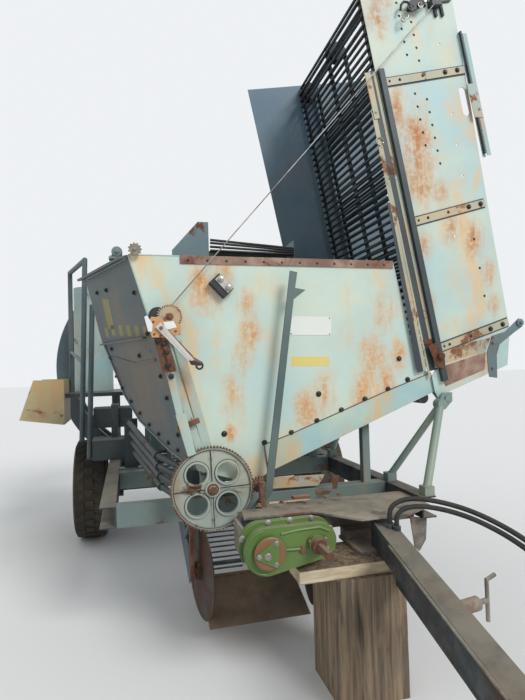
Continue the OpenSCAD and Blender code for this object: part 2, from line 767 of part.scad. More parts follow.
module share() {
    color(rust) {
        wall_x(web_x, [[-2400, 130], [-2390, 128], [-2020, 262], [-2020, 274]], web_w - 120);
        block([web_x - web_w / 2, -2038, 256], [web_x + web_w / 2, -1996, 273]);
    }
}

module sieve_web() {
    step = (web_len - 90) / (web_rods - 1);
    color("gray") web_frame() {
        for (i = [0:web_rods - 1]) translate([-web_w / 2 + 12, 30 + i * step, 0]) rotate([0, 90, 0])
            cylinder(h = web_w - 24, r = 6, $fn = 8);
        for (s = [-1, 1]) translate([s * (web_w / 2 - 45) - 25, 30, -12]) cube([50, web_len - 60, 10]);
    }
}

// A tube from a to c, welded at its bend b inside a short sleeve
module bent_tube(a, b, c, r) {
    u = (b - a) / norm(b - a);
    v = (c - b) / norm(c - b);
    half = 18 * (u + v) / norm(u + v);
    rod(a, b, r);
    rod(b, c, r);
    rod(b - half, b + half, r + 6);
}

module guard_tubes() {
    color(dark_steel) for (i = [0:3])
        bent_tube([-812 + i * 12, cross_y[1] - 24, 1199 - i * 76], [-640 + i * 8, -1900, 1046 - i * 68],
            [-440 - i * 6, cross_y[0] + 55, 968 - i * 60], guard_r);
    // the plates that hold the tubes at both ends
    color(dark_steel) {
        block([-502, cross_y[0] + 45, 764], [-412, cross_y[0] + 60, 996]);
        block([-846, cross_y[1] - 32, beam_top], [-746, cross_y[1] - 17, 1226]);
    }
}

platform_x = 1366;
table_x = [-230, 430];
table_z = 2310;

module picking_table() {
    color(shade_blue) {
        for (y = [cross_y[1], cross_y[2]]) {
            for (s = [-1, 1]) block([s * 620 - 30, y - 30, beam_top], [s * 620 + 30, y + 30, table_z]);
            block([-590, y - 30, table_z - 60], [590, y + 30, table_z]);
        }
        for (x = table_x) block([x - 4, -1645, table_z], [x + 4, 480, table_z + 240]);
        wall([[-488, 2403], [-223, 2403], [-223, 2658], [-300, 2658], [-488, 2446]], -1650, 5);
    }
}

module table_belt() {
    color(dark_steel) {
        for (i = [0:27]) rod([table_x[0] + 4.3, -1630 + i * 76, table_z + 130],
            [table_x[1] - 4.3, -1630 + i * 76, table_z + 130], 11);
        for (s = [0, 1]) block([table_x[s] + (s == 0 ? 4.3 : -45), -1640, table_z + 100],
            [table_x[s] + (s == 0 ? 45 : -4.3), 470, table_z + 122]);
    }
}

module platforms() {
    color(shade_blue) for (s = [-1, 1]) {
        x = s == -1 ? beam_right_x : beam_left_x;
        outer = s * platform_x;
        inner = s * 655;
        low = min(outer, inner);
        high = max(outer, inner);
        block([low, -350, deck_z - 35], [high, 450, deck_z]);
        for (y = [-310, 380]) block([x - 30, y - 30, beam_top], [x + 30, y + 30, deck_z - 34]);
    }
}

// Heights of the entry poles' feet
rail_foot = [1010, 866];

module entry_steps() {
    color(shade_blue) for (row = [[-800, 851, 1023], [-600, 1100, 1272]]) {
        block([-1110, row[0], row[1]], [-780, row[0] + 230, row[2]]);
    }
    color(shade_blue) {
        block([-960, -640, beam_top], [-900, -350, 1300]);
        // the brackets under the two poles
        block([-1228, -674, rail_foot[0] - 12], [-1109, -626, rail_foot[0] - 1.3]);
        block([-1166, -726, rail_foot[1] - 12], [-1109, -674, rail_foot[1]]);
    }
}

module handrails() {
    color(shade_blue) {
        pipe([[-1203, -650, rail_foot[0]], [-1155, -640, rail_top], [-1344, 0, rail_top], [-1344, 0, deck_z]], rail_r);
        rod([step_post[0], step_post[1], rail_foot[1] + 1], step_post_top, rail_r);
        rod(hoop_bar[0], hoop_bar[1], rail_r - 6);
        pipe([[1320, -120, deck_z], [1320, -120, rail_top], [1320, 400, rail_top], [1320, 400, deck_z]], rail_r);
        rod([1320, -112, 1990], [1320, 392, 1990], rail_r - 6);
    }
}

module drum_shield() {
    color(steel_blue) translate([-1150, 250, deck_z]) difference() {
        cylinder(h = 1050, r = 190);
        translate([0, 0, -1]) cylinder(h = 1052, r = 186);
        translate([-300, 0, -2]) cube([600, 300, 1060]);
    }
}

module stone_box() {
    color([0.72, 0.62, 0.40]) difference() {
        wall([[box_low_x, stone_low + 58], [-platform_x, stone_low], [-platform_x, stone_top - 3],
            [stone_lip_x, stone_top]], stone_y, stone_len);
        wall([[box_low_x + 5, stone_low + 62], [-platform_x - 5, stone_low + 5], [-platform_x - 5, stone_top + 17],
            [stone_lip_x + 5, stone_top + 17]], stone_y + 5, stone_len - 10);
    }
}

module wood_support() {
    color(wood) {
        block([stump_x - stump_w / 2, stump_y - stump_w / 2, 0], [stump_x + stump_w / 2, stump_y + stump_w / 2, stump_h]);
        block([-60, stump_y - 150, stump_h], [stump_x + 150, stump_y + 10, clevis_low]);
        block([-40, stump_y + 20, stump_h], [stump_x + 160, stump_y + 160, clevis_low]);
    }
}

module elevator_near_wall() {
    color(steel_blue) elevator_frame() difference() {
        union() {
            wall([[-35, -45], [40, -60], [530, 15], [elev_foot_w, 235], [elev_top_w, elev_len], [12, elev_len],
                [12, 120], [-35, 60]], near_y, wall_t);
            fold_lug(near_y);
        }
        fold_bore(near_y);
        translate([609, near_y - 1, 1761]) rotate([-90, 0, 0]) slot_hole();
        for (i = [0:11]) {
            if (i != 5 && i != 6) wall_hole(258, 2424 - i * hole_step);
            if (i != 5) wall_hole(337, 2298 - i * hole_step);
        }
        for (hole = [[510, 2146], [500, 1690], [489, 1486], [484, 1281], [336, 905], [473, 864], [470, 673], [463, 489]])
            wall_hole(hole[0], hole[1]);
    }
}

// The lug under a wall's foot that the fold pin goes through
module fold_lug(y) {
    wall([[-30, -30], [fold_local[0] - 42, fold_local[1]], [fold_local[0] + 42, fold_local[1]], [70, -30]], y, wall_t);
    translate([fold_local[0], y, fold_local[1]]) rotate([-90, 0, 0]) cylinder(h = wall_t, r = 42);
}

// The hole of the fold pin through a lug at y
module fold_bore(y) {
    translate([fold_local[0], y - 1, fold_local[1]]) rotate([-90, 0, 0])
        cylinder(h = wall_t + 2, r = fold_pin_r + run_gap);
}

// Pitch of the two columns of bolt holes in the near wall
hole_step = 83.5;

// A bolt hole through the near wall, x across and z along the elevator
module wall_hole(x, z) {
    translate([x, near_y - 1, z]) rotate([-90, 0, 0]) cylinder(h = wall_t + 2, r = 9, $fn = 16);
}

module slot_hole() {
    linear_extrude(wall_t + 2) {
        translate([0, -70]) circle(r = 24);
        translate([0, 70]) circle(r = 24);
        square([48, 140], center = true);
    }
}

module elevator_far_wall() {
    color(steel_blue) elevator_frame() difference() {
        union() {
            wall([[-35, -45], [40, -60], [530, 15], [elev_foot_w, 235], [elev_top_w, elev_len],
                [-guard_w, elev_len], [20 - guard_w, 1000], [12, 620], [12, 120], [-35, 60]], far_y, wall_t);
            fold_lug(far_y);
        }
        fold_bore(far_y);
    }
}

bed_x = 20;
belt_t = 8;
belt_w = 50;
// From a roller's axis to the middle of a bed bar that lies on the belt
bed_r = roller_r + 0.3 + belt_t + bar_r - 2;
bed_low = 190;
bed_high = elev_len - 90;
belt_y = [near_y + 45, (near_y + far_y) / 2, far_y - 45];

module elevator_bars() {
    step = (bed_high - bed_low) / (bar_count - 1);
    color(dark_steel) elevator_frame() {
        for (i = [0:bar_count - 1], x = [bed_x, bed_x + 2 * bed_r]) bed_bar(x, bed_low + i * step);
        for (a = [45, 90, 135]) {
            bed_bar(bed_x + bed_r - bed_r * cos(a), bed_high + bed_r * sin(a));
            bed_bar(bed_x + bed_r - bed_r * cos(a), bed_low - bed_r * sin(a));
        }
        for (y = belt_y) translate([0, y + belt_w / 2, 0]) rotate([90, 0, 0])
            linear_extrude(belt_w) difference() {
                belt_outline(roller_r + 0.3 + belt_t);
                belt_outline(roller_r + 0.3);
            }
    }
}

// One bar of the bed, across the elevator
module bed_bar(x, z) {
    rod([x, near_y + wall_t + 12, z], [x, far_y - 12, z], bar_r);
}

// The closed belt loop, drawn across and along the elevator
module belt_outline(r) {
    translate([bed_x + bed_r, bed_low]) circle(r = r);
    translate([bed_x + bed_r, bed_high]) circle(r = r);
    translate([bed_x + bed_r - r, bed_low]) square([2 * r, bed_high - bed_low]);
}

module elevator_rollers() {
    x = bed_x + bed_r;
    color(dark_steel) elevator_frame() for (z = [bed_low, bed_high]) {
        for (y = belt_y) rod([x, y - belt_w / 2 - 8, z], [x, y + belt_w / 2 + 8, z], roller_r);
        rod([x, near_y + wall_t, z], [x, far_y, z], 24);
    }
}

// The hook's place across and along the elevator
hook_at = let (d = cable_high - [pivot_x, pivot_z])
    [d[0] * cos(lean) + d[1] * sin(lean), d[1] * cos(lean) - d[0] * sin(lean)];

module elevator_rails() {
    color(rust) elevator_frame() {
        block([-45, near_y - 5, 100], [12, near_y, 2000]);
        block([20, near_y - 30, 20], [56, near_y, 2000]);
        for (row = [[1923, 1965, 658], [1036, 1085, 603], [227, 290, 596]])
            bar([62, near_y - 4, row[0]], [row[2], near_y - 4, row[1]], 8, 45);
        block([668, near_y - 24, 1400], [678, near_y, 2210]);
        block([hook_at[0] - 35, pay_y + cable_r + 0.3, hook_at[1] - 20], [hook_at[0] + 35, near_y, hook_at[1] + 20]);
    }
}

cable_run = (cable_high - cable_low) / norm(cable_high - cable_low);
swing_len = 2300;
pay_y = cable_y - 2 * cable_r - 0.3;
pay_start = 130;

function on_cable(d, y) = [cable_low[0] + cable_run[0] * d, y, cable_low[1] + cable_run[1] * d];

module cable_swing() {
    color("gray") difference() {
        union() {
            rod(on_cable(0, cable_y), on_cable(swing_len, cable_y), cable_r);
            winch_disc(cable_low, cable_y - 5, 10, 9);
        }
        winch_disc(cable_low, cable_y - 8, 16, 4 + run_gap);
    }
}

module cable_pay() {
    color("gray") rod(on_cable(pay_start, pay_y), on_cable(norm(cable_high - cable_low), pay_y), cable_r);
}

module drawbar_beam() {
    head_low = clevis_low + 17;
    head_high = beam_top - 20 - deck_t - 1;
    start = [swing_x, swing_y, (head_low + head_high) / 2];
    rear = start + (eye_point - start) * 0.02;
    front = eye_point + (start - eye_point) * 0.058;
    color(dark_steel) difference() {
        union() {
            translate([swing_x, swing_y, head_low]) cylinder(h = head_high - head_low, r = 48);
            bar(rear, front, bar_w, bar_h);
            bar(start + [-20, -230, -150], front + [20, 120, -70], 55, 55);
            bar(front + [12, 150, -90], front + [12, 150, 10], 55, 40);
            bar(start + [-15, -250, -170], start + [-30, -250, 10], 60, 40);
            eye_frame() translate([-46, 100, -50]) cube([92, 14, 116]);
            // the sockets of the hoses and the holder of their couplers
            for (route = [hose_route_upper, hose_route_lower])
                rod(route[0] - [0, 0, 44], route[0] - [0, 0, 2 * seat_gap], hose_r + 7);
            wall([[195, 540], [262, 540], [376, 622], [376, 708], [318, 708]], coupler_y - 12, 12);
        }
        translate([swing_x, swing_y, 0]) cylinder(h = beam_top, r = swing_pin_r + run_gap);
    }
}

eye_point = [eye_x, eye_y, eye_z];

// Places children at the towing eye, Y along the drawbar
module eye_frame() {
    translate(eye_point) rotate([0, 0, atan2(swing_y - eye_y, swing_x - eye_x) - 90]) children();
}

module tow_eye() {
    color(dark_steel) eye_frame() difference() {
        union() {
            translate([0, 0, -eye_t / 2]) cylinder(h = eye_t, r = 62);
            translate([-30, 40, -eye_t / 2]) cube([60, 60, eye_t]);
        }
        translate([0, 0, -eye_t]) cylinder(h = 2 * eye_t, r = eye_bore_r);
    }
}

module parking_jack() {
    color(shade_blue) {
        rod(jack_foot, jack_end, 30);
        rod(jack_end + [0, 1, 0], jack_crank, 12);
        rod(jack_crank - [0, 0, 90], jack_crank + [0, 0, 90], 9);
        rod(jack_crank + [-4, -1, 86], jack_crank + [50, 10, 100], 9);
    }
}

function tube_ring(p, d, r, n) = let (side = cross(d, [0, 0, 1]), s = side / norm(side), u = cross(s, d))
    [for (k = [0:n - 1]) p + r * (cos(k * 360 / n) * s + sin(k * 360 / n) * u)];

// A closed tube swept along hand chosen points
module hose(route, r) {
    n = 8;
    count = len(route);
    dirs = [for (i = [0:count - 1]) let (d = route[min(i + 1, count - 1)] - route[max(i - 1, 0)]) d / norm(d)];
    rings = [for (i = [0:count - 1]) each tube_ring(route[i], dirs[i], r, n)];
    sides = [for (i = [0:count - 2], k = [0:n - 1])
        [i * n + k, i * n + (k + 1) % n, (i + 1) * n + (k + 1) % n, (i + 1) * n + k]];
    polyhedron(points = rings, faces = concat([[for (k = [n - 1:-1:0]) k]], sides,
        [[for (k = [0:n - 1]) (count - 1) * n + k]]));
}

hose_route_upper = [[428, -2995, 806], [428, -2996, 850], [436, -3000, 884], [462, -3008, 908],
    [505, -3022, 924], [560, -3048, 928], [620, -3086, 922], [680, -3134, 910], [735, -3194, 893],
    [782, -3264, 870], [818, -3344, 844], [838, -3430, 818], [836, -3530, 794], [815, -3640, 772],
    [775, -3755, 752], [718, -3870, 735], [650, -3980, 720], [578, -4085, 708], [505, -4182, 698],
    [435, -4270, 690], [378, -4345, 684], [345, -4395, 680], [345, -4420, 680]];
hose_route_lower = [[450, -3024, 802], [450, -3025, 834], [458, -3029, 860], [480, -3036, 880],
    [516, -3048, 892], [566, -3072, 896], [622, -3108, 891], [677, -3155, 880], [729, -3213, 863],
    [774, -3280, 840], [808, -3355, 814], [826, -3438, 788], [824, -3534, 764], [803, -3642, 742],
    [763, -3756, 722], [706, -3869, 705], [639, -3978, 690], [568, -4082, 678], [496, -4178, 668],
    [428, -4265, 660], [374, -4341, 654], [345, -4394, 650], [345, -4420, 650]];
hose_r = 12;
coupler_y = -4480;

module hose_upper() {
    color(rubber_black) hose(hose_route_upper, hose_r);
}

module hose_lower() {
    color(rubber_black) hose(hose_route_lower, hose_r);
}

// The two couplers, each from its hose's end to the holder on the drawbar
module hose_couplers() {
    color("silver") for (route = [hose_route_upper, hose_route_lower]) let (tail = route[len(route) - 1]) {
        rod([tail[0], tail[1], tail[2]], [tail[0], coupler_y, tail[2]], 14);
    }
}

place() side_beams();
place() cross_beams();
place() front_deck();
place() axle();
place() ring_cradle();
place() gearbox();
place() pto_shaft();
place() drive_gears();
place() shift_lever();
place() bunker_front();
place() bunker_rear();
place() bunker_end();
place() bunker_chute();
place() bunker_rails();
place() bunker_conveyor();
place() pivot_stays();
place() winch_post();
place() winch();
place() coulter_arms();
place() dig_channel();
place() share();
place() sieve_web();
place() guard_tubes();
place() picking_table();
place() table_belt();
place() platforms();
place() entry_steps();
place() handrails();
place() drum_shield();
place() stone_box();
place() wood_support();
place() ring_drum();
place() ring_rods_cage();
place() ring_pocket_plates();
place() tyre(-1);  // tyre_right
place() rim(-1);  // rim_right
place() tyre(1);  // tyre_left
place() rim(1);  // rim_left
place() disc(0);  // disc_right
place() disc(1);  // disc_left
place() elevator_near_wall();
place() elevator_far_wall();
place() elevator_bars();
place() elevator_rollers();
place() elevator_rails();
place() cable_swing();
place() cable_pay();
place() drawbar_beam();
place() tow_eye();
place() parking_jack();
place() hose_upper();
place() hose_lower();
place() hose_couplers();
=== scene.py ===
import math

import bmesh
import bpy
from mathutils import Matrix, Vector


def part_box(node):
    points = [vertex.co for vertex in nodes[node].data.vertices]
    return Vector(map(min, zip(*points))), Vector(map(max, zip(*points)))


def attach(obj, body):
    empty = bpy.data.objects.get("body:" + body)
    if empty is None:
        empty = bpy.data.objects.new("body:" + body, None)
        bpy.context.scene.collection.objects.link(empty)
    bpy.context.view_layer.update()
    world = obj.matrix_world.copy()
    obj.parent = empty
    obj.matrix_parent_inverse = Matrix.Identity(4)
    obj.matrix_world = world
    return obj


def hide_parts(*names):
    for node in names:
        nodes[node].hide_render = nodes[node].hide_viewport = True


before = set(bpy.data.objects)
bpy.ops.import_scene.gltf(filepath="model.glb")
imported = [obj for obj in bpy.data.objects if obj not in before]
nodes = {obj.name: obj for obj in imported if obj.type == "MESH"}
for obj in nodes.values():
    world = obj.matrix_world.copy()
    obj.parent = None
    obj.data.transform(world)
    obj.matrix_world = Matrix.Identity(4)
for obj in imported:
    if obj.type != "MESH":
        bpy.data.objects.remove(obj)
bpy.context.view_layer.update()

# The machine's own frame is in millimetres: x to its left, y to the rear from the axle, z up
SHIFT = Vector((53.53, 1831.0, 0.0))
FRONT_Y = -2450
NEAR_Y = FRONT_Y - 20
WINCH_Y = -2546
GEARBOX_Y = -3050
GEAR_X, GEAR_Z = -375, 943
OUT = Vector((0, -1, 0))
UP = Vector((0, 0, 1))


def at(x, y, z):
    """A point of the machine's frame, in metres in the row frame."""
    return (Vector((x, y, z)) + SHIFT) / 1000


def flat(y, points):
    """Points that share one y of the machine's frame, from pairs of x and z."""
    return [at(x, y, z) for x, z in points]


def spoke(angle):
    """The unit vector at an angle from +X in the front plane."""
    return Vector((math.cos(angle), 0, math.sin(angle)))


def across(angle):
    """The unit vector in the front plane at right angles to that spoke."""
    return Vector((-math.sin(angle), 0, math.cos(angle)))


def hoop(centre, r, n):
    """A closed circle in the front plane, in n steps."""
    return [centre + spoke(k * math.tau / n) * r for k in range(n + 1)]


def arc(x, z, r, degrees):
    """Pairs of x and z on a circle of the machine's frame."""
    return [(x + r * math.cos(math.radians(a)), z + r * math.sin(math.radians(a))) for a in degrees]


# the folded elevator leans outwards from its foot
LIFT_X, LIFT_Z = 1082, 1449
LEAN = math.radians(10.7)


def lift(v, y, u):
    """A point of the folded elevator: v across, u along it."""
    c, s = math.cos(LEAN), math.sin(LEAN)
    return at(LIFT_X + v * c - u * s, y, LIFT_Z + u * c + v * s)


# the bunker's end wall hangs from its front upper corner
END_X, END_Z = -794, 2226
TURN, RISE = math.radians(110.65), math.radians(74.5)


def end_wall(a, b, c=0.0):
    """A point on the leaning end wall: a along its upper edge, b up it, c inwards."""
    y = b * math.cos(RISE) - c * math.sin(RISE)
    z = b * math.sin(RISE) + c * math.cos(RISE)
    return at(END_X + a * math.cos(TURN) - y * math.sin(TURN),
              FRONT_Y + a * math.sin(TURN) + y * math.cos(TURN), END_Z + z)


END_OUT = (end_wall(0, 0, -1) - end_wall(0, 0)).normalized()


# camera
CAMERA_AT = Vector((-0.74647, -3.469, 1.600))
YAW, PITCH, ROLL = math.radians(14.7), math.radians(1.82), math.radians(1.66)
PHOTO_HEIGHT, FOCAL_LENGTH = 700, 510
SENSOR = 36


def make_camera():
    """The photo's camera; its focal length is in pixels of the photo."""
    forward = Vector((math.sin(YAW) * math.cos(PITCH), math.cos(YAW) * math.cos(PITCH), math.sin(PITCH)))
    right = Vector((math.cos(YAW), -math.sin(YAW), 0))
    up = right.cross(forward)
    c, s = math.cos(ROLL), math.sin(ROLL)
    right, up = right * c - up * s, right * s + up * c
    data = bpy.data.cameras.new("camera")
    data.sensor_fit = "VERTICAL"
    data.sensor_height = SENSOR
    data.lens = FOCAL_LENGTH / PHOTO_HEIGHT * SENSOR
    data.clip_end = 200
    cam = bpy.data.objects.new("camera", data)
    cam.matrix_world = Matrix((
        (right.x, up.x, -forward.x, CAMERA_AT.x), (right.y, up.y, -forward.y, CAMERA_AT.y),
        (right.z, up.z, -forward.z, CAMERA_AT.z), (0, 0, 0, 1)))
    bpy.context.scene.collection.objects.link(cam)
    bpy.context.scene.camera = cam


make_camera()


# materials
DIRT = (96, 84, 66)
# the tan of settled dust and of a painted highlight on faces that look up
DUST_AND_TOP_HIGHLIGHT = (158, 148, 130)


def srgb(r, g, b):
    """A linear colour from sRGB values of 0 to 255."""
    return tuple(((c / 255 + 0.055) / 1.055) ** 2.4 if c > 10 else c / 3300 for c in (r, g, b)) + (1.0,)


class Graph:
    """Short names for the nodes of one material."""

    def __init__(self, name, metallic=0.0, rough=0.6):
        self.mat = bpy.data.materials.new(name)
        self.mat.use_nodes = True
        self.tree = self.mat.node_tree
        self.shader = self.tree.nodes["Principled BSDF"]
        self.shader.inputs["Metallic"].default_value = metallic
        self.shader.inputs["Roughness"].default_value = rough
        self.coords = self.tree.nodes.new("ShaderNodeTexCoord").outputs["Object"]

    def put(self, socket, value):
        if isinstance(value, bpy.types.NodeSocket):
            self.tree.links.new(value, socket)
        else:
            socket.default_value = value

    def node(self, kind, values, **settings):
        """A new node's outputs: settings are set first, then the inputs are linked or set."""
        n = self.tree.nodes.new("ShaderNode" + kind)
        for key, value in settings.items():
            setattr(n, key, value)
        for key, value in values.items():
            self.put(n.inputs[key], value)
        return n.outputs

    def scaled(self, scale):
        return self.node("Mapping", {"Vector": self.coords, "Scale": scale})["Vector"]

    def noise(self, scale, detail, rough, distort=0.0, vector=None):
        return self.node("TexNoise", {"Vector": vector or self.coords, "Scale": scale, "Detail": detail,
                                      "Roughness": rough, "Distortion": distort})["Fac"]

    def ramp(self, value, low, high, a=0.0, b=1.0):
        return self.node("MapRange", {"Value": value, "From Min": low, "From Max": high, "To Min": a,
                                      "To Max": b}, interpolation_type="SMOOTHSTEP")["Result"]

    def calc(self, operation, a, b):
        return self.node("Math", {0: a, 1: b}, operation=operation, use_clamp=True)[0]

    def times(self, a, b):
        return self.calc("MULTIPLY", a, b)

    def mix(self, factor, a, b):
        return self.node("Mix", {0: factor, 6: a, 7: b}, data_type="RGBA")[2]

    def near(self, point, radius, warp):
        """1 close to a point of the row frame, fading over a warped edge; taller than wide."""
        squeeze = 0.55
        middle = (point[0], point[1], point[2] * squeeze)
        d = self.node("VectorMath", {0: self.scaled((1, 1, squeeze)), 1: middle}, operation="DISTANCE")
        d = self.calc("ADD", d["Value"], self.times(warp, radius * 1.5))
        return self.ramp(d, radius * 1.75, radius * 0.65)

    def beyond(self, point, radius, soft):
        """1 outside a circle round an axis along Y through a point."""
        level = self.node("VectorMath", {0: self.coords, 1: (1, 0, 1)}, operation="MULTIPLY")["Vector"]
        d = self.node("VectorMath", {0: level, 1: (point[0], 0, point[2])}, operation="DISTANCE")
        return self.ramp(d["Value"], radius - soft, radius + soft)

    def dusty(self, base, amount):
        """Settled dust and a painted highlight on faces that look up."""
        split = self.node("SeparateXYZ", {0: self.node("NewGeometry", {})["Normal"]})
        mask = self.times(self.ramp(split["Z"], 0.55, 0.95),
                          self.ramp(self.noise(5.0, 7, 0.65), 0.25, 0.62, amount * 0.35, amount))
        return self.mix(mask, base, srgb(*DUST_AND_TOP_HIGHLIGHT))

    def bump(self, height, strength, distance):
        n = self.node("Bump", {"Strength": strength, "Distance": distance, "Height": height})
        self.put(self.shader.inputs["Normal"], n["Normal"])

    def finish(self, colour, rough):
        self.put(self.shader.inputs["Base Color"], colour)
        self.put(self.shader.inputs["Roughness"], rough)
        return self.mat


def painted(name, paint, chalk, rust, stain, cover, wash, dirt, rough=0.52, stains=(), rim=None):
    """Old paint: chalky patches, orange wash, rust that has broken through, streaks and dirt.

    A lower cover shows more rust, and a lower wash more of the stain.
    """
    g = Graph(name, rough=rough)
    base = g.mix(g.ramp(g.noise(1.7, 5, 0.55, 0.3), 0.35, 0.68), srgb(*paint), srgb(*chalk))
    streak = g.noise(7.0, 8, 0.68, 0.2, g.scaled((2.6, 2.6, 0.4)))
    warp = g.noise(6.0, 9, 0.70)
    soft = g.ramp(g.noise(2.6, 8, 0.62, 0.5, g.scaled((1, 1, 0.6))), wash, wash + 0.18, 0.0, 0.85)
    for point, radius, strength in stains:
        soft = g.calc("MAXIMUM", soft, g.times(g.near(point, radius, warp), strength))
    soft = g.times(soft, g.ramp(streak, 0.34, 0.60, 0.35, 1.0))
    base = g.mix(soft, base, srgb(*stain))
    grit = g.noise(34.0, 8, 0.7)
    broken = g.times(g.ramp(g.noise(4.4, 10, 0.68, 0.4), cover, cover + 0.05),
                     g.ramp(grit, 0.34, 0.52, 0.35, 1.0))
    for point, radius, strength in stains:
        if strength > 0.65:
            speck = g.times(g.ramp(grit, 0.33, 0.58, 0.1, strength * 0.9),
                            g.ramp(streak, 0.36, 0.58, 0.25, 1.0))
            core = g.times(g.near(point, radius * 0.85, warp), speck)
            broken = g.calc("MAXIMUM", broken, core)
    if rim:
        edge = g.times(g.beyond(*rim), g.ramp(grit, 0.25, 0.60, 0.45, 1.0))
        broken = g.calc("MAXIMUM", broken, edge)
    base = g.mix(broken, base, srgb(*rust))
    grime = g.times(g.ramp(g.noise(1.1, 4, 0.6), 0.45, 0.72, 0.0, dirt), g.ramp(grit, 0.3, 0.7, 0.5, 1.0))
    base = g.mix(grime, base, srgb(*DIRT))
    # dust and a painted highlight on faces that look up
    base = g.dusty(base, 0.35)
    g.bump(g.calc("ADD", g.times(broken, 0.5), g.times(grit, 0.35)), 0.22, 0.004)
    return g.finish(base, g.ramp(broken, 0.0, 1.0, rough, 0.92))


def iron(name, dark, light, rust, cover, rough=0.62, metallic=0.25):
    """Bare or dirty steel: dark metal, rubbed light patches and rust."""
    g = Graph(name, metallic=metallic, rough=rough)
    base = g.mix(g.ramp(g.noise(6.0, 8, 0.66, 0.3), 0.38, 0.66), srgb(*dark), srgb(*light))
    grit = g.noise(48.0, 9, 0.72)
    old = g.times(g.ramp(g.noise(3.3, 9, 0.66, 0.6), cover - 0.07, cover + 0.07),
                  g.ramp(grit, 0.30, 0.60, 0.45, 1.0))
    # rust, then dust and a painted highlight on faces that look up
    base = g.dusty(g.mix(old, base, srgb(*rust)), 0.6)
    g.bump(grit, 0.35, 0.003)
    return g.finish(base, g.ramp(old, 0.0, 1.0, rough, 0.9))


def rubber(name, colour, dust, amount, rough=0.7):
    """Dull rubber with dust in patches."""
    g = Graph(name, rough=rough)
    grit = g.noise(70.0, 6, 0.7)
    mask = g.times(g.ramp(g.noise(3.0, 6, 0.6), 0.35, 0.7, 0.1, amount), g.ramp(grit, 0.3, 0.7, 0.4, 1.0))
    g.bump(grit, 0.2, 0.002)
    return g.finish(g.mix(mask, srgb(*colour), srgb(*dust)), g.ramp(mask, 0.0, 1.0, rough, 0.95))


def timber(name, light, dark, grain):
    """Weathered wood whose grain runs along the axis that `grain` squeezes."""
    g = Graph(name, rough=0.88)
    fibre = g.noise(9.0, 9, 0.68, 0.6, g.scaled(grain))
    crack = g.ramp(g.noise(5.0, 5, 0.6, 0.2, g.scaled(grain)), 0.60, 0.66)
    base = g.mix(g.ramp(fibre, 0.32, 0.66), srgb(*dark), srgb(*light))
    base = g.mix(g.ramp(g.noise(2.0, 4, 0.6), 0.5, 0.75, 0.0, 0.4), base, srgb(96, 92, 82))
    base = g.mix(g.times(crack, 0.8), base, srgb(44, 38, 32))
    g.bump(g.calc("SUBTRACT", fibre, g.times(crack, 0.6)), 0.6, 0.006)
    return g.finish(base, g.ramp(fibre, 0.0, 1.0, 0.8, 0.95))


# rust stains: x and z, or v and u on the elevator, then radius and strength
FRONT_STAINS = [(at(x, FRONT_Y, z), radius, strength) for x, z, radius, strength in [
    (-370, 2060, 0.15, 1.0), (-290, 2130, 0.12, 0.9), (-130, 1960, 0.10, 0.8), (-120, 1800, 0.11, 0.8),
    (-170, 1640, 0.10, 0.7), (-60, 2080, 0.08, 0.6), (650, 1620, 0.17, 1.0), (720, 1500, 0.12, 1.0),
    (560, 1430, 0.14, 0.9), (330, 1420, 0.13, 0.8), (200, 1340, 0.12, 0.8), (-230, 1420, 0.12, 0.7),
    (20, 1700, 0.12, 0.6), (740, 1900, 0.12, 0.8), (30, 2060, 0.08, 0.5), (480, 1760, 0.10, 0.6),
    (-250, 1230, 0.05, 1.0), (820, 1650, 0.10, 0.9)]]
LIFT_STAINS = [(lift(v, NEAR_Y, u), radius, strength) for v, u, radius, strength in [
    (190, 1560, 0.20, 1.0), (170, 1350, 0.20, 1.0), (110, 1760, 0.14, 0.9), (90, 2330, 0.13, 0.9),
    (170, 2480, 0.12, 0.8), (330, 950, 0.12, 0.9), (470, 860, 0.13, 1.0), (520, 640, 0.11, 0.8),
    (110, 880, 0.08, 0.8), (60, 520, 0.06, 0.8), (260, 640, 0.10, 0.6), (520, 430, 0.07, 0.9),
    (330, 70, 0.10, 1.0), (470, 2240, 0.06, 0.6), (300, 1190, 0.12, 0.7)]]

RUST, STAIN = (150, 88, 52), (196, 150, 102)
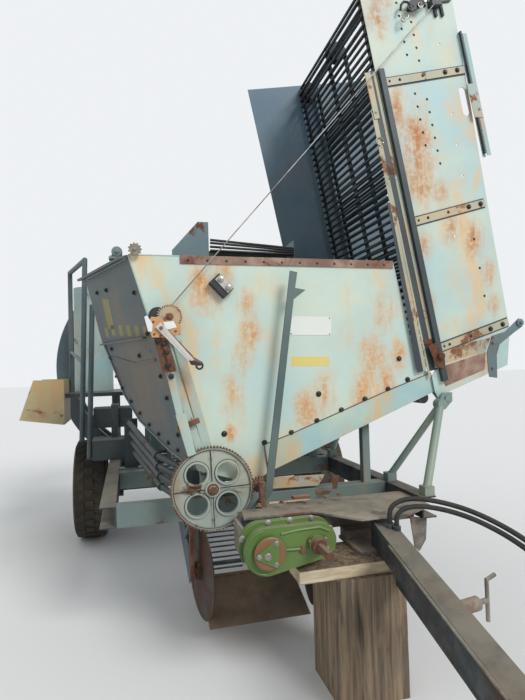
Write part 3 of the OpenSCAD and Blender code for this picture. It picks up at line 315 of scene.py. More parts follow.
# old paints: name, paint, chalk, rust, stain, then cover, wash, dirt and at times roughness
PAINTS = {
    "front": ("paint_bunker_front", (182, 208, 204), (202, 214, 198), (196, 124, 68), (224, 190, 136),
              0.68, 0.47, 0.18),
    "lift": ("paint_elevator_near", (170, 200, 202), (200, 210, 192), (176, 110, 66), (220, 184, 136),
             0.67, 0.46, 0.22),
    "blue": ("paint_blue", (150, 180, 180), (178, 194, 184), RUST, STAIN, 0.60, 0.52, 0.45),
    # painted shade: a darker slate for parts that lie in shade, over their own paint
    "shade": ("paint_slate_painted_shade", (92, 116, 124), (112, 130, 132), (104, 66, 44), (122, 104, 82),
              0.62, 0.56, 0.6),
    "deep": ("paint_deep", (66, 88, 98), (88, 104, 108), (92, 60, 42), (100, 88, 72), 0.60, 0.58, 0.7),
    "cream": ("paint_cream", (176, 160, 118), (196, 182, 140), RUST, STAIN, 0.58, 0.52, 0.5),
    "green": ("paint_green", (74, 104, 46), (98, 126, 62), (118, 78, 48), (120, 112, 66),
              0.66, 0.62, 0.45, 0.34),
    "gear": ("paint_gear", (142, 154, 148), (166, 172, 158), (96, 62, 44), (146, 126, 98), 0.56, 0.52, 0.5),
    "lever": ("paint_lever", (74, 92, 92), (92, 108, 104), (92, 62, 44), (104, 98, 82), 0.64, 0.60, 0.5),
    "strip": ("paint_strip", (164, 168, 150), (190, 182, 154), (132, 84, 56), (202, 158, 110),
              0.55, 0.44, 0.35),
    "oil": ("paint_cover", (112, 78, 52), (138, 100, 66), (84, 52, 36), (120, 92, 60), 0.55, 0.5, 0.5, 0.4),
    "orange": ("paint_winch", (206, 152, 104), (222, 176, 128), (128, 76, 46), (180, 116, 72),
               0.60, 0.52, 0.3),
    "white": ("paint_sign", (232, 234, 230), (222, 224, 216), RUST, STAIN, 0.80, 0.74, 0.12, 0.4),
    "yellow": ("paint_label", (214, 192, 92), (222, 206, 132), RUST, STAIN, 0.80, 0.66, 0.2, 0.5),
    # painted shade: the end wall's yellow marks darkened because they lie in shade
    "mark": ("paint_mark_painted_shade", (122, 116, 64), (134, 128, 82), RUST, STAIN, 0.80, 0.66, 0.3, 0.6),
    "low": ("paint_low_strip", (156, 190, 192), (190, 204, 186), (170, 104, 62), (206, 178, 128),
            0.66, 0.50, 0.3),
    # painted shade: the end wall's paint darkened because it lies in shade
    "end": ("paint_end_painted_shade", (62, 76, 82), (84, 94, 94), (104, 70, 48), (112, 96, 76), 0.62, 0.50, 0.6),
    # painted shade: the elevator's far wall darkened because it lies in shade
    "far": ("paint_far_painted_shade", (76, 104, 122), (98, 120, 132), (104, 72, 52), (116, 112, 100), 0.64, 0.56, 0.4),
    "hand": ("paint_hand", (58, 74, 80), (84, 100, 104), (92, 62, 46), (98, 90, 76), 0.62, 0.58, 0.4),
    # night is also the colour of the painted shadows on the elevator's near wall
    "night": ("paint_night", (40, 52, 58), (62, 74, 78), (78, 54, 42), (80, 74, 64), 0.60, 0.58, 0.5),
    "stay": ("paint_stay", (118, 138, 132), (142, 154, 138), (122, 84, 58), (146, 130, 100),
             0.60, 0.54, 0.5),
    # painted shade: the front cross beam darkened because it lies in shade
    "beam": ("paint_beam_painted_shade", (96, 114, 112), (126, 138, 126), (108, 72, 50), (128, 114, 88), 0.58, 0.54, 0.7),
    "paper": ("paint_crank", (206, 206, 200), (190, 186, 176), (140, 92, 60), STAIN, 0.58, 0.56, 0.3),
}
# steels: name, dark, light, rust, then cover and at times roughness and metallic
STEELS = {
    "frame": ("iron_frame", (42, 46, 50), (74, 78, 80), (72, 58, 48), 0.60),
    "rust": ("iron_rust", (98, 66, 48), (142, 102, 76), (92, 54, 38), 0.54, 0.8, 0.1),
    "rail": ("iron_rail", (132, 100, 86), (166, 142, 126), (112, 70, 54), 0.58, 0.8, 0.1),
    "bar": ("iron_bar", (58, 66, 74), (104, 112, 118), (72, 56, 48), 0.60, 0.45, 0.6),
    "dim": ("iron_dim", (36, 44, 50), (66, 76, 82), (66, 52, 44), 0.60, 0.55, 0.4),
    "disc": ("iron_disc", (40, 36, 34), (68, 60, 54), (84, 56, 42), 0.50, 0.6, 0.3),
    "plate": ("iron_deck", (98, 92, 86), (158, 150, 138), (122, 90, 68), 0.58, 0.75, 0.1),
    "zinc": ("iron_zinc", (138, 136, 130), (182, 180, 172), (120, 92, 70), 0.66, 0.4, 0.8),
    "black": ("iron_black", (30, 32, 34), (52, 54, 56), (70, 52, 42), 0.66, 0.5),
    "wire": ("iron_wire", (120, 118, 112), (170, 168, 160), (110, 84, 64), 0.62, 0.4, 0.7),
}
# what some paints carry more: stains, or a rusty rim outside a circle
WORN = {
    "front": {"stains": FRONT_STAINS},
    "lift": {"stains": LIFT_STAINS},
    "gear": {"rim": (at(GEAR_X, 0, GEAR_Z), 0.217, 0.008)},
}
M = {key: painted(*row, **WORN.get(key, {})) for key, row in PAINTS.items()}
M.update({key: iron(*row) for key, row in STEELS.items()})
M.update({
    "tyre": rubber("rubber_tyre", (38, 36, 34), (104, 92, 74), 0.75, 0.85),
    "belt": rubber("rubber_belt", (40, 40, 42), (92, 84, 72), 0.5),
    "hose": rubber("rubber_hose", (26, 27, 29), (92, 86, 76), 0.45, 0.5),
    "log": timber("wood_log", (148, 128, 104), (80, 66, 54), (3.4, 3.4, 0.22)),
    "plank": timber("wood_plank", (214, 200, 172), (172, 150, 120), (0.3, 2.4, 2.4)),
})

# the CAD nodes of each look
LOOKS = {
    "frame": "side_beams axle ring_cradle bunker_conveyor elevator_rollers drawbar_beam tow_eye",
    "beam": "cross_beams",
    "plate": "front_deck parking_jack",
    "green": "gearbox",
    "rust": "pto_shaft winch coulter_arms share rim_right rim_left",
    "gear": "drive_gears",
    "lever": "shift_lever",
    "front": "bunker_front",
    "blue": "bunker_rear winch_post drum_shield",
    "end": "bunker_end",
    "shade": "bunker_chute picking_table ring_pocket_plates",
    "rail": "bunker_rails",
    "stay": "pivot_stays",
    "deep": "dig_channel ring_drum",
    "bar": "sieve_web ring_rods_cage",
    "night": "guard_tubes platforms entry_steps elevator_rails",
    "belt": "table_belt",
    "hand": "handrails",
    "cream": "stone_box",
    "log": "wood_support",
    "tyre": "tyre_right tyre_left",
    "disc": "disc_right disc_left",
    "lift": "elevator_near_wall",
    "far": "elevator_far_wall",
    "dim": "elevator_bars",
    "wire": "cable_swing cable_pay",
    "hose": "hose_upper hose_lower",
    "zinc": "hose_couplers",
}


# mesh kit
class Kit:
    """Collects simple solids into one mesh of a body, in metres of the row frame."""

    def __init__(self, body="root"):
        self.verts, self.faces, self.body = [], [], body

    def add(self, points, faces):
        start = len(self.verts)
        self.verts += [tuple(p) for p in points]
        self.faces += [tuple(start + i for i in f) for f in faces]

    def loft(self, rings, closed=True):
        """Skins rings of equally many points and closes both ends."""
        n = len(rings[0])
        faces = [(i * n + k, i * n + (k + 1) % n, (i + 1) * n + (k + 1) % n, (i + 1) * n + k)
                 for i in range(len(rings) - 1) for k in range(n)]
        if closed:
            faces += [tuple(range(n - 1, -1, -1)), tuple((len(rings) - 1) * n + k for k in range(n))]
        self.add([p for r in rings for p in r], faces)

    def prism(self, outline, depth):
        """A plate from points of its outline and the vector through its thickness."""
        self.loft([[Vector(p) for p in outline], [Vector(p) + Vector(depth) for p in outline]])

    def plate(self, y, points, depth):
        """A plate in a plane of one y, from pairs of x and z; depth is in metres along y."""
        self.prism(flat(y, points), (0, depth, 0))

    def lift_plate(self, y, points, depth):
        """A plate on the elevator's wall, from pairs of v and u; depth is in millimetres outwards."""
        self.prism([lift(v, y, u) for v, u in points], (0, -depth / 1000, 0))

    def box(self, low, high):
        """A box of the machine's frame."""
        (a, b, c), (d, e, f) = low, high
        self.prism([at(a, b, c), at(d, b, c), at(d, e, c), at(a, e, c)], (0, 0, (f - c) / 1000))

    def tooth(self, base, tip, side, low, high, depth):
        """A tapered bar from base to tip, with its half widths along side; depth is along y."""
        self.prism([base - side * low, base + side * low, tip + side * high, tip - side * high],
                   (0, depth, 0))

    def turn(self, start, axis, profile, n=24, phase=0.0):
        """A turned solid: profile is (distance along the axis, radius) from one end to the other."""
        axis = Vector(axis).normalized()
        side = axis.orthogonal().normalized()
        up = axis.cross(side)
        angles = [phase + k * math.tau / n for k in range(n)]
        self.loft([[start + axis * h + (side * math.cos(a) + up * math.sin(a)) * r for a in angles]
                   for h, r in profile])

    def rod(self, a, b, r, n=12):
        """A straight round bar between two points."""
        run = Vector(b) - Vector(a)
        self.turn(Vector(a), run, [(0, r), (run.length, r)], n)

    def tube(self, points, r, n=10):
        """A round bar swept along a list of points."""
        rings = []
        up = None
        angles = [k * math.tau / n for k in range(n)]
        for i, p in enumerate(points):
            before, after = points[max(i - 1, 0)], points[min(i + 1, len(points) - 1)]
            d = (Vector(after) - Vector(before)).normalized()
            side = d.orthogonal().normalized() if up is None else d.cross(up).normalized()
            up = side.cross(d).normalized()
            rings.append([Vector(p) + (side * math.cos(a) + up * math.sin(a)) * r for a in angles])
        self.loft(rings)

    def bolt(self, point, r, normal=OUT, washer=True):
        """A washer and a hexagon head seated on a face."""
        normal = Vector(normal).normalized()
        if washer:
            self.turn(point, normal, [(0, r * 1.55), (r * 0.22, r * 1.55), (r * 0.3, r * 1.4)], 14)
        start = point + normal * (r * 0.3 if washer else 0)
        self.turn(start, normal, [(0, r), (r * 0.72, r), (r * 0.92, r * 0.8)], 6, phase=(point.x * 37) % 1)

    def bolts(self, points, r, normal=OUT):
        for point in points:
            self.bolt(point, r, normal)

    def rivet(self, point, r):
        """A domed rivet head on a face that looks forward."""
        self.turn(point, OUT, [(0, r), (r * 0.3, r * 0.92), (r * 0.6, r * 0.6), (r * 0.7, r * 0.2)], 10)

    def make(self, name, look, bevel=0.0):
        mesh = bpy.data.meshes.new(name)
        mesh.from_pydata(self.verts, [], self.faces)
        return dress(name, mesh, look, bevel, self.body)


def dress(name, mesh, look, bevel, body="root"):
    """An object of a mesh, with its material, edges, shading and body."""
    obj = bpy.data.objects.new(name, mesh)
    bpy.context.scene.collection.objects.link(obj)
    mesh.materials.clear()
    mesh.materials.append(M[look])
    bm = bmesh.new()
    bm.from_mesh(mesh)
    bmesh.ops.recalc_face_normals(bm, faces=bm.faces)
    bm.to_mesh(mesh)
    bm.free()
    if bevel:
        mod = obj.modifiers.new("edges", "BEVEL")
        mod.width = bevel
        mod.segments = 2
        mod.limit_method = "ANGLE"
        mod.angle_limit = math.radians(35)
        mod.use_clamp_overlap = True
    mesh.shade_smooth()
    mesh.set_sharp_from_angle(angle=math.radians(40))
    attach(obj, body)
    return obj


def refine(node, look, bevel):
    """A CAD node's own shape with softened edges, shown instead of the node."""
    mesh = nodes[node].data.copy()
    bm = bmesh.new()
    bm.from_mesh(mesh)
    bmesh.ops.remove_doubles(bm, verts=bm.verts, dist=1e-5)
    bmesh.ops.dissolve_limit(bm, angle_limit=math.radians(0.6), verts=bm.verts, edges=bm.edges)
    bm.to_mesh(mesh)
    bm.free()
    obj = dress(node + "_shown", mesh, look, bevel)
    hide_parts(node)


# hoses: the arc seen in front of the deck, then the run to the holder on the drawbar
HOSE_UPPER = [
    (428, -2995, 806), (428, -2996, 850), (436, -3000, 884), (462, -3008, 908), (505, -3022, 924),
    (560, -3048, 928), (620, -3086, 922), (680, -3134, 910), (735, -3194, 893), (782, -3264, 870),
    (818, -3344, 844), (838, -3430, 818), (836, -3530, 794), (815, -3640, 772), (775, -3755, 752),
    (718, -3870, 735), (650, -3980, 720), (578, -4085, 708), (505, -4182, 698), (435, -4270, 690),
    (378, -4345, 684), (345, -4395, 680), (345, -4420, 680)]
HOSE_LOWER = [
    (450, -3024, 802), (450, -3025, 834), (458, -3029, 860), (480, -3036, 880), (516, -3048, 892),
    (566, -3072, 896), (622, -3108, 891), (677, -3155, 880), (729, -3213, 863), (774, -3280, 840),
    (808, -3355, 814), (826, -3438, 788), (824, -3534, 764), (803, -3642, 742), (763, -3756, 722),
    (706, -3869, 705), (639, -3978, 690), (568, -4082, 678), (496, -4178, 668), (428, -4265, 660),
    (374, -4341, 654), (345, -4394, 650), (345, -4420, 650)]
HOSE_R = 0.012


def smooth_route(points, steps=4):
    """A Catmull-Rom line through the points."""
    pts = [at(*p) for p in points]
    out = []
    for i in range(len(pts) - 1):
        a, b, c, d = pts[max(i - 1, 0)], pts[i], pts[i + 1], pts[min(i + 2, len(pts) - 1)]
        for k in range(steps):
            t = k / steps
            out.append(0.5 * (2 * b + (c - a) * t + (2 * a - 5 * b + 4 * c - d) * t * t
                              + (3 * b - a - 3 * c + d) * t ** 3))
    return out + [pts[-1]]


def make_hose(name, node, route):
    """A stiff hose as a round curve along its route, shown instead of its CAD node."""
    line = smooth_route(route)
    curve = bpy.data.curves.new(name, "CURVE")
    curve.dimensions = "3D"
    spline = curve.splines.new("POLY")
    spline.points.add(len(line) - 1)
    for p, q in zip(spline.points, line):
        p.co = (*q, 1.0)
    spline.use_smooth = True
    curve.bevel_depth = HOSE_R
    curve.bevel_resolution = 4
    curve.use_fill_caps = True
    curve.materials.append(M["hose"])
    obj = bpy.data.objects.new(name, curve)
    bpy.context.scene.collection.objects.link(obj)
    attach(obj, "drawbar")
    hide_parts(node)


make_hose("hose_line_upper", "hose_upper", HOSE_UPPER)
make_hose("hose_line_lower", "hose_lower", HOSE_LOWER)

# looks and shading of the CAD nodes
for look_name, node_names in LOOKS.items():
    for node_name in node_names.split():
        data = nodes[node_name].data
        data.materials.clear()
        data.materials.append(M[look_name])
        data.shade_smooth()
        data.set_sharp_from_angle(angle=math.radians(32))

refine("side_beams", "frame", 0.003)
refine("cross_beams", "beam", 0.003)
refine("front_deck", "plate", 0.002)
refine("shift_lever", "lever", 0.002)
refine("winch_post", "blue", 0.002)


# details of the bunker
def bunker_front_details():
    """The blank sign and label, bolts and rivets, and the black socket with its lid."""
    sign = Kit()
    sign.plate(FRONT_Y, [(118, 1890), (379, 1883), (375, 1773), (114, 1778)], -0.0025)
    sign.make("sign_plate", "white", 0.001)
    label = Kit()
    label.plate(FRONT_Y, [(123, 1652), (359, 1645), (357, 1590), (121, 1596)], -0.0008)
    label.make("label_plate", "yellow")
    bolts = Kit()
    for point in flat(FRONT_Y - 2.5, [(128, 1882), (369, 1876), (366, 1781), (123, 1786)]):
        bolts.rivet(point, 0.004)
    bolts.bolts(flat(FRONT_Y, [
        (822, 1623), (284, 1426), (876, 1491), (739, 1437), (582, 1383), (426, 1324), (268, 1268),
        (-289, 1226), (-56, 1160), (108, 1208)]), 0.011)
    for i in range(12):
        bolts.rivet(at(-470 + 110 * i, FRONT_Y - 6, 2205), 0.007)
    bolts.make("bunker_bolts", "black")
    tilt = math.radians(-47)
    middle = at(-290, FRONT_Y, 2058)
    thick = 0.045

    def corner(u, v, out=0.0):
        return middle + spoke(tilt) * u + across(tilt) * v + OUT * out

    block = Kit()
    block.prism([corner(-0.06, -0.04), corner(0.06, -0.04), corner(0.06, 0.04), corner(-0.06, 0.04)],
                (0, -thick, 0))
    block.make("socket_block", "black", 0.004)
    lid = Kit()
    lid.prism([corner(-0.05, -0.005, thick), corner(0.055, -0.005, thick), corner(0.055, 0.045, thick),
               corner(-0.05, 0.045, thick)], (0, -0.006, 0))
    for u in (-0.028, 0.034):
        lid.turn(corner(u, 0.02, 0.05), OUT, [(0, 0.017), (0.012, 0.017), (0.014, 0.014)], 20)
        lid.bolt(corner(u, 0.02, 0.062), 0.008, washer=False)
    lid.make("socket_lid", "zinc", 0.0015)


def bunker_edges():
    """The lighter strip along the lower edge, its rusty seam and the folded edges."""
    skin = Kit()
    skin.plate(FRONT_Y - 3.2, [(1060, 1411), (1039, 1529), (740, 1427), (430, 1316), (108, 1200),
                               (-62, 1148), (-36, 994)], -0.001)
    skin.make("strip_skin", "low")
    seam = Kit()
    line = [(-62, 1153), (108, 1206), (430, 1322), (740, 1433), (1036, 1530)]
    seam.plate(FRONT_Y - 4, line + [(x, z - 6) for x, z in reversed(line)], -0.0015)
    seam.plate(FRONT_Y - 4, [(-64, 1151), (-58, 1153), (-34, 998), (-42, 994)], -0.0015)
    seam.make("strip_seam", "rust")
    fold = Kit()
    fold.rod(at(END_X, FRONT_Y - 1, END_Z), at(-440, FRONT_Y - 1, 1031), 0.004, 8)
    fold.rod(at(END_X, FRONT_Y + 3, END_Z + 2), at(-514, FRONT_Y + 3, END_Z + 2), 0.005, 8)
    fold.make("front_fold", "blue")


def end_wall_details():
    """Bolts, yellow marks, rolled lip, sprocket and bearing of the bunker's end wall; the marks, lip and
    bearing are darkened with painted shade.
    """
    bolts = Kit()
    bolts.bolts([end_wall(a, b, -2) for a, b in [
        (644, -122), (469, -130), (57, -202), (33, -440), (677, -500), (239, -562), (20, -690), (18, -820),
        (8, -1040), (742, -560), (736, -690)]], 0.010, END_OUT)
    bolts.bolts([end_wall(a, b, -1) for a, b in [
        (690, -772), (600, -862), (505, -940), (400, -1010), (290, -1062), (180, -1108), (70, -1140)]],
        0.010, END_OUT)
    bolts.make("end_bolts", "black")
    marks = Kit()
    film = END_OUT * 0.0008
    marks.prism([end_wall(a, b) for a, b in [(588, -169), (480, -186), (520, -374), (640, -366)]], film)
    for a, top in [(676, -352), (550, -348), (415, -358), (290, -370), (165, -382), (55, -394)]:
        half = 31 if a > 120 else 23
        marks.prism([end_wall(a + half, top), end_wall(a - half, top - 4),
                     end_wall(a - half + 12, top - 70), end_wall(a + half + 12, top - 66)], film)
    marks.make("end_marks", "mark")
    lip = Kit()
    path = [end_wall(a, b, -3) for a, b in [(790, -470), (686, -826), (543, -994), (189, -1159),
                                            (-60, -1230)]]
    for a, b in zip(path, path[1:]):
        lip.rod(a, b, 0.006, 8)
    lip.rod(end_wall(16, -12, -5), end_wall(760, -12, -5), 0.007, 8)
    lip.make("end_lip", "shade")
    gear = Kit()
    hub = end_wall(-40, 18, 30)
    gear.turn(hub, OUT, [(0, 0.030), (0.012, 0.030)], 28)
    teeth = 11
    for k in range(teeth):
        a = k * math.tau / teeth
        gear.tooth(hub + spoke(a) * 0.026, hub + spoke(a) * 0.036, across(a), 0.006, 0.004, -0.010)
    gear.rod(hub - OUT * 0.12, hub + OUT * 0.03, 0.010)
    gear.make("end_sprocket", "plate", 0.001)
    block = Kit()
    spot = end_wall(156, 0, 0)
    foot = [(-0.05, -0.03, 0.004), (0.04, -0.03, 0.004), (0.04, 0.04, 0.004), (-0.05, 0.04, 0.004)]
    block.prism([spot + Vector(p) for p in foot], (0, 0, 0.012))
    block.turn(spot + Vector((-0.005, 0.03, 0.045)), OUT, [(0, 0.030), (0.055, 0.030), (0.06, 0.025)], 20)
    block.bolt(spot + Vector((-0.005, -0.03, 0.045)), 0.011)
    block.bolt(spot + Vector((-0.035, -0.01, 0.016)), 0.008, UP)
    block.make("end_bearing", "shade", 0.002)


def bars_behind():
    """Dark bars that lean between the two panels behind the bunker."""
    bars = Kit()
    y = -1645
    for (x, z), (x2, z2) in [((-211, 2530), (426, 2486)), ((-212, 2508), (425, 2472)),
                             ((-213, 2480), (425, 2456)), ((-213, 2452), (425, 2440))]:
        bars.rod(at(x, y, z), at(x2, y, z2), 0.009)
    bars.make("panel_bars", "black")


# details of the winch and the drive
def winch_details():
    """The hand winch: toothed wheel, drum, cheeks, pawl and crank over its rusty bracket."""
    y = WINCH_Y
    hub = at(-586, y, 1877)
    wheel = Kit()
    wheel.turn(hub + OUT * 0.001, OUT, [(0, 0.057), (0.012, 0.057)], 40)
    teeth = 30
    for k in range(teeth):
        a = k * math.tau / teeth
        base = hub + OUT * 0.001
        wheel.tooth(base + spoke(a) * 0.054, base + spoke(a) * 0.069, across(a), 0.0042, 0.0022, -0.012)
    wheel.turn(hub + OUT * 0.012, OUT, [(0, 0.047), (0.002, 0.047), (0.002, 0.040), (0.004, 0.040)], 32)
    wheel.make("winch_wheel", "strip", 0.0006)
    hubs = Kit()
    hubs.turn(hub + OUT * 0.013, OUT, [(0, 0.020), (0.006, 0.020), (0.008, 0.016)], 24)
    hubs.bolt(hub + OUT * 0.021, 0.010)
    hubs.turn(at(-633, y - 14, 1816), OUT, [(0, 0.019), (0.010, 0.019), (0.014, 0.014)], 20)
    hubs.bolt(at(-633, y - 28, 1816), 0.011)
    hubs.bolts(flat(y - 14, [(-600, 1795), (-556, 1800), (-672, 1850), (-668, 1785)]), 0.007)
    hubs.make("winch_hubs", "rust", 0.0006)
    cheek = Kit()
    cheek.plate(y - 13, [(-682, 1878), (-640, 1874), (-600, 1842), (-540, 1842), (-532, 1812),
                         (-540, 1782), (-600, 1764), (-680, 1768), (-704, 1832)], -0.004)
    cheek.plate(y - 13, [(-540, 1842), (-532, 1842), (-528, 1782), (-540, 1782)], 0.055)
    cheek.make("winch_cheek", "orange", 0.0015)
    drum = Kit()
    drum.turn(at(-648, y + 10, 1884), -OUT, [(0, 0.040), (0.060, 0.040)], 24)
    drum.turn(at(-648, y + 4, 1884), -OUT, [(0, 0.048), (0.006, 0.048)], 24)
    drum.make("winch_drum", "black", 0.001)
    pawl = Kit()
    pawl.plate(y - 18, [(-622, 1848), (-566, 1854), (-550, 1820), (-608, 1806)], -0.002)
    pawl.plate(y - 18, [(-718, 1876), (-704, 1884), (-676, 1838), (-680, 1796), (-700, 1800)], -0.006)
    pawl.make("winch_pawl", "white", 0.0008)
    crank = Kit()
    a, b = at(-633, y - 26, 1816), at(-470, y - 30, 1632)
    along = (b - a).normalized()
    side = OUT.cross(along).normalized()
    crank.tooth(a - along * 0.024, b, side, 0.019, 0.013, -0.008)
    crank.tooth(a + OUT * 0.008, b + OUT * 0.008, side, 0.004, 0.004, -0.002)
    crank.make("winch_crank", "paper", 0.0015)
    grip = Kit()
    grip.plate(y - 40, [(-494, 1642), (-452, 1634), (-438, 1612), (-482, 1618)], -0.014)
    grip.tube(hoop(at(-438, y - 47, 1612), 0.017, 16), 0.006, 8)
    grip.rod(b, at(-470, y - 60, 1632), 0.010)
    grip.make("winch_grip", "black", 0.001)
    bracket = Kit()
    bracket.plate(y + 16, [(-672, 1772), (-600, 1768), (-556, 1586), (-626, 1580)], -0.010)
    bracket.plate(y + 6, [(-634, 1768), (-600, 1768), (-556, 1586), (-590, 1582)], -0.012)
    bracket.make("winch_bracket", "rust", 0.002)
    dots = Kit()
    dots.bolts(flat(y - 6, [(-618, 1735), (-604, 1690), (-598, 1620), (-584, 1560), (-650, 1752)]), 0.010)
    dots.make("bracket_bolts", "black")
    post = Kit()
    post.plate(y + 14, [(-606, 1560), (-566, 1566), (-522, 1352), (-560, 1344)], -0.012)
    post.plate(y + 16, [(-566, 1352), (-512, 1362), (-462, 1140), (-506, 1128)], -0.020)
    post.make("post_cover", "blue", 0.002)
    tab = Kit()
    tab.plate(y + 20, [(-560, 1290), (-440, 1330), (-432, 1304), (-552, 1262)], 0.03)
    tab.make("post_tab", "rust", 0.002)


def gear_details():
    """The nut of the large gear and the dark lines along the ribs, holes and rim of its face."""
    nut_y, face_y, hole_y = -2544, -2530, -2526
    hub = at(GEAR_X, nut_y, GEAR_Z)
    nut = Kit()
    nut.turn(hub, OUT, [(0, 0.032), (0.004, 0.032), (0.006, 0.028)], 28)
    nut.turn(hub + OUT * 0.006, OUT, [(0, 0.022), (0.016, 0.022), (0.019, 0.018)], 6)
    nut.make("gear_nut", "rust", 0.0008)
    lines = Kit()
    face = at(GEAR_X, face_y, GEAR_Z)
    for k in range(4):
        a = k * math.tau / 4 + 0.03
        lines.tooth(face + spoke(a) * 0.042, face + spoke(a) * 0.206, across(a), 0.0022, 0.0022, 0.006)
    for k in range(4):
        a = (k + 0.5) * math.tau / 4
        hole = at(GEAR_X + 118 * math.cos(a), hole_y, GEAR_Z + 118 * math.sin(a))
        lines.tube(hoop(hole, 0.0695, 36), 0.0016, 6)
    lines.tube(hoop(face, 0.2105, 72), 0.0022, 6)
    lines.make("gear_dark_lines", "black")


def gearbox_details():
    """Round rusty cover, flange, bolts, the raised upper rim and the shaft's splines."""
    y, rim_y, bolt_y = GEARBOX_Y, -2966, -2976
    cover_bolts = (58, 186, 298)
    middle = at(-207, y - 16, 760)
    cover = Kit()
    cover.turn(middle, OUT, [(0, 0.074), (0.008, 0.074), (0.011, 0.070), (0.011, 0.058)], 44)
    cover.make("gearbox_cover", "oil", 0.0008)
    flange = Kit()
    oval = []
    for k in range(30):
        a = k * math.tau / 30
        u, w = 0.054 * math.cos(a), 0.037 * math.sin(a)
        oval.append(at(27, y - 9, 777) + Vector((u * 0.94 + w * 0.34, 0, w * 0.94 - u * 0.34)))
    flange.prism(oval, (0, -0.008, 0))
    flange.turn(at(20, y - 33, 775), OUT, [(0, 0.036), (0.005, 0.038), (0.009, 0.036), (0.009, 0.026)], 28)
    flange.turn(at(-47, y, 754), OUT, [(0, 0.016), (0.012, 0.016), (0.014, 0.011)], 6)
    flange.make("gearbox_flange", "rust", 0.001)
    rim = Kit()
    rim.prism([middle + OUT * 0.010 + spoke(math.radians(a + turn)) * r for a in cover_bolts
               for turn, r in ((-9, 0.064), (0, 0.070), (9, 0.064))], (0, -0.006, 0))
    rim.plate(rim_y, arc(-213, 760, 117, range(86, 267, 9)) + arc(36, 782, 95, range(-78, 88, 9)), -0.010)
    rim.tube(flat(y - 1, arc(-213, 760, 98, range(100, 266, 11))), 0.005, 8)
    rim.tube(flat(y - 1, [(-150, 836), (-60, 846), (40, 848), (86, 826)]), 0.007, 8)
    rim.rod(at(-130, y - 5, 764), at(-60, y - 5, 760), 0.006)
    rim.make("gearbox_rim", "green", 0.001)
    bolts = Kit()
    seat = middle + OUT * 0.016
    bolts.bolts([seat + spoke(math.radians(a)) * 0.054 for a in cover_bolts], 0.008)
    bolts.bolt(seat + Vector((-0.012, 0, -0.008)), 0.011)
    bolts.bolts(flat(bolt_y, [(-188, 868), (-82, 869), (26, 869), (119, 812), (-312, 808), (-298, 690),
                             (-232, 652), (8, 697), (116, 744)]), 0.010)
    bolts.bolts(flat(y - 17, [(-14, 792), (66, 754), (60, 796)]), 0.006)
    bolts.make("gearbox_bolts", "zinc")
    shaft = Kit()
    for k in range(6):
        a = k * math.tau / 6
        base = at(20, y - 60, 775) + spoke(a) * 0.0165
        shaft.tooth(base, base + spoke(a) * 0.0022, across(a), 0.0035, 0.0035, -0.112)
    shaft.make("shaft_splines", "rust", 0.0006)


# details of the elevator
# the three cross strips of the near wall: height at v = 60, height at their outer end, its v
CROSS_STRIPS = [(1923, 1965, 658), (1036, 1085, 603), (227, 290, 596)]


def strip_outline(low, high, side, under, over):
    """The outline of a band along a cross strip, between two distances from its middle."""
    return [(60, low + under), (side, high + under), (side, high + over), (60, low + over)]


